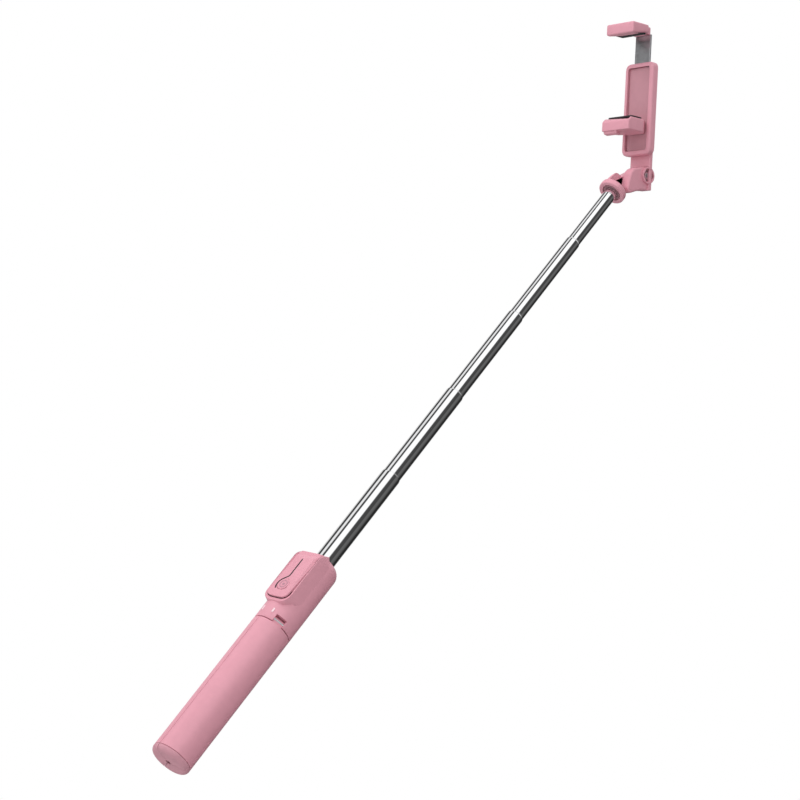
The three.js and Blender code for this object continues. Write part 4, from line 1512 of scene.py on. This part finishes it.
    def build(self) -> None:
        """Builds every piece of the clamp."""
        make_piece("tray_skin", [self.tray()], SATIN_PINK, "clamp", "clamp_tray")
        # The cover's darker pink is partly painted shade cast by the phone and jaw.
        make_piece("cover_skin", [self.cover()], SHADED_COVER_PINK, "clamp", "clamp_cover")
        make_piece("lower_jaw_skin", [self.lower_jaw(), self.lower_lip()], SATIN_PINK, "clamp", "lower_jaw")
        pad = self.plate("lower_pad", 1.5, 0.4, Along.Z)
        make_piece("lower_pad_skin", [pad], GRIP_RUBBER, "clamp", "lower_pad")
        make_piece("slider_skin", [self.slider()], BRIGHT_STEEL, "upper_clamp", "jaw_slider")
        make_piece("upper_jaw_skin", [self.upper_jaw()], SATIN_PINK, "upper_clamp", "upper_jaw")
        pad = self.plate("upper_pad", 1.5, 0.4, Along.Z)
        make_piece("upper_pad_skin", [pad], GRIP_RUBBER, "upper_clamp", "upper_pad")
        self.springs()
        dress(BRIGHT_STEEL, "spring_anchor")


# ------------------------------------------------------------------------------ studio
@dataclass
class Studio:
    """Pale floor, banded soft light all round and the camera."""

    lens: float = 94.5
    camera_at: tuple[float, float, float] = (1.2093, -0.7841, -0.5580)
    camera_right: tuple[float, float, float] = (0.6694, 0.5065, 0.5434)
    camera_back: tuple[float, float, float] = (0.7429, -0.4592, -0.4871)
    floor_height: float = -0.66
    floor_radius: float = 2.0
    front: float = -32.9
    key_side: tuple[float, float, float] = (0.292, -0.956, 0.0)
    ambient: float = 0.42
    key: float = 0.66
    top_light: float = 0.5
    peak: float = 2.0
    end_grey: float = 0.42
    lamp_at: tuple[float, float, float] = (-0.55, -1.9, 0.9)
    lamp_aim: tuple[float, float, float] = (0, 0, 0.2)

    def camera(self) -> None:
        """Makes the camera, looking up at the stick from low on its right."""
        back = Vector(self.camera_back).normalized()
        right = Vector(self.camera_right)
        right = (right - back * right.dot(back)).normalized()
        data = bpy.data.cameras.new("camera")
        data.lens = self.lens
        data.sensor_width = 36.0
        data.clip_start = 0.01
        data.clip_end = 50.0
        camera = bpy.data.objects.new("camera", data)
        axes = Matrix((right, back.cross(right), back)).transposed().to_4x4()
        camera.matrix_world = Matrix.Translation(self.camera_at) @ axes
        bpy.context.scene.collection.objects.link(camera)
        bpy.context.scene.camera = camera

    def bands(self) -> list[tuple[float, float]]:
        """Brightness of the surrounding light by turn, as (turn from the front in degrees, level)."""
        return [
            (-180, 0.5), (-150, 0.8), (-136, 0.8), (-130, 0.07), (-99, 0.05), (-93, 0.9),
            (-71, 0.95), (-65, 0.12), (-58, 0.05), (-48, 0.05), (-40, 1.2), (6, 1.2),
            (14, 0.12), (20, 0.065), (48, 0.065), (58, 0.14), (77, 0.13), (90, 0.08),
            (104, 0.025), (140, 0.02), (156, 0.25), (180, 0.5),
        ]

    def world(self) -> None:
        """Makes the surrounding light.

        Shiny surfaces see upright bands by turn, with an even grey above and below. Matt ones get
        ambient + key * (direction . key side), plus the top light times the direction's height.
        The camera sees white.
        """
        world = bpy.data.worlds.new("studio")
        bpy.context.scene.world = world
        world.use_nodes = True
        graph = Graph(world.node_tree)
        sky = graph.add("TexCoord").outputs["Generated"]
        split = graph.add("SeparateXYZ", {"Vector": sky})
        turn = graph.add("Math", {0: split.outputs["Y"], 1: split.outputs["X"]}, operation="ARCTAN2")
        offset = -math.radians(self.front) + math.pi
        ahead = graph.add("Math", {0: turn.outputs[0], 1: offset}, operation="ADD")
        around = graph.add("Math", {0: ahead.outputs[0], 1: 2 * math.pi, 2: 0.0}, operation="WRAP")
        share = graph.add("Math", {0: around.outputs[0], 1: 2 * math.pi}, operation="DIVIDE")
        peak = self.peak
        stops = [((turn + 180) / 360, (level / peak,) * 3) for turn, level in self.bands()]
        band = graph.ramp(share.outputs[0], stops).outputs["Color"]
        steep = graph.add("Math", {0: split.outputs["Z"]}, operation="ABSOLUTE")
        cap = graph.add("MapRange", {"Value": steep.outputs[0], "From Min": 0.70, "From Max": 0.86})
        grey = (self.end_grey, self.end_grey, self.end_grey, 1)
        soft = graph.add("Mix", {0: cap.outputs["Result"], 6: band, 7: grey}, data_type="RGBA")
        gloss = graph.add("Background", {"Color": soft.outputs[2], "Strength": peak})
        side = graph.add("VectorMath", {0: sky, 1: self.key_side}, operation="DOT_PRODUCT")
        dim, bright = self.ambient - self.key, self.ambient + self.key
        wide = {"Value": side.outputs["Value"], "From Min": -1.0, "To Min": dim, "To Max": bright}
        from_side = graph.add("MapRange", wide).outputs["Result"]
        height = {"Value": split.outputs["Z"], "To Max": self.top_light}
        above = graph.add("MapRange", height).outputs["Result"]
        level = graph.add("Math", {0: from_side, 1: above}, operation="ADD")
        shine = graph.add("Math", {0: level.outputs[0], 1: 0.0}, operation="MAXIMUM")
        matt = graph.add("Background", {"Color": WHITE, "Strength": shine.outputs[0]})
        rays = graph.add("LightPath").outputs
        lit = graph.add("MixShader", {0: rays["Is Diffuse Ray"], 1: gloss.outputs[0], 2: matt.outputs[0]})
        plain = graph.add("Background", {"Color": WHITE, "Strength": 1.0})
        both = graph.add("MixShader", {0: rays["Is Camera Ray"], 1: lit.outputs[0], 2: plain.outputs[0]})
        graph.add("OutputWorld", {"Surface": both.outputs[0]})

    def floor(self) -> None:
        """Makes the floor: a thin pale disc with a bevelled rim, whose finish is faintly clouded."""
        rim, thick = self.floor_radius / MM, 4.0
        side = [(rim - thick, -thick), (rim, -thick / 2), (rim - thick, 0.0)]
        disc = np.array([(0.01, -thick), *side, (0.01, 0.0)])
        under = Place((0, 0, self.floor_height / MM), STICK.axes)
        skin = turned(disc, under, count=128)
        mesh = bpy.data.meshes.new("floor")
        faces = [*skin.quads.tolist(), *(cap.tolist() for cap in skin.caps)]
        mesh.from_pydata(skin.points.tolist(), [], faces)
        pale = Finish("pale_floor", "floor", (0.86, 0.86, 0.86), 0.01, 0.3, roughness=0.7, grain_depth=0.02)
        mesh.materials.append(pale.build())
        floor = bpy.data.objects.new("floor", mesh)
        bpy.context.scene.collection.objects.link(floor)

    def lamps(self) -> None:
        """Adds one broad soft lamp over the front left, which gives the plastic its gloss."""
        data = bpy.data.lights.new("soft_lamp", "AREA")
        data.shape = "RECTANGLE"
        data.size, data.size_y = 1.0, 1.6
        data.energy = 14.0
        lamp = bpy.data.objects.new("soft_lamp", data)
        spot = Vector(self.lamp_at)
        turn = (spot - Vector(self.lamp_aim)).to_track_quat("Z", "Y").to_matrix().to_4x4()
        lamp.matrix_world = Matrix.Translation(spot) @ turn
        lamp.visible_glossy = False
        bpy.context.scene.collection.objects.link(lamp)

    def build(self) -> None:
        """Builds the studio."""
        bpy.context.scene.view_settings.view_transform = "Standard"
        self.camera()
        self.world()
        self.floor()
        self.lamps()


def main() -> None:
    """Builds the studio and every sub-assembly."""
    logging.basicConfig(level=logging.INFO, format="%(name)s %(message)s")
    for part in (Studio(), Handle(), Remote(), Pole(), Swivel(), Neck(), Clamp()):
        log.info("building %s", type(part).__name__)
        part.build()


if __name__ == "__main__":
    main()
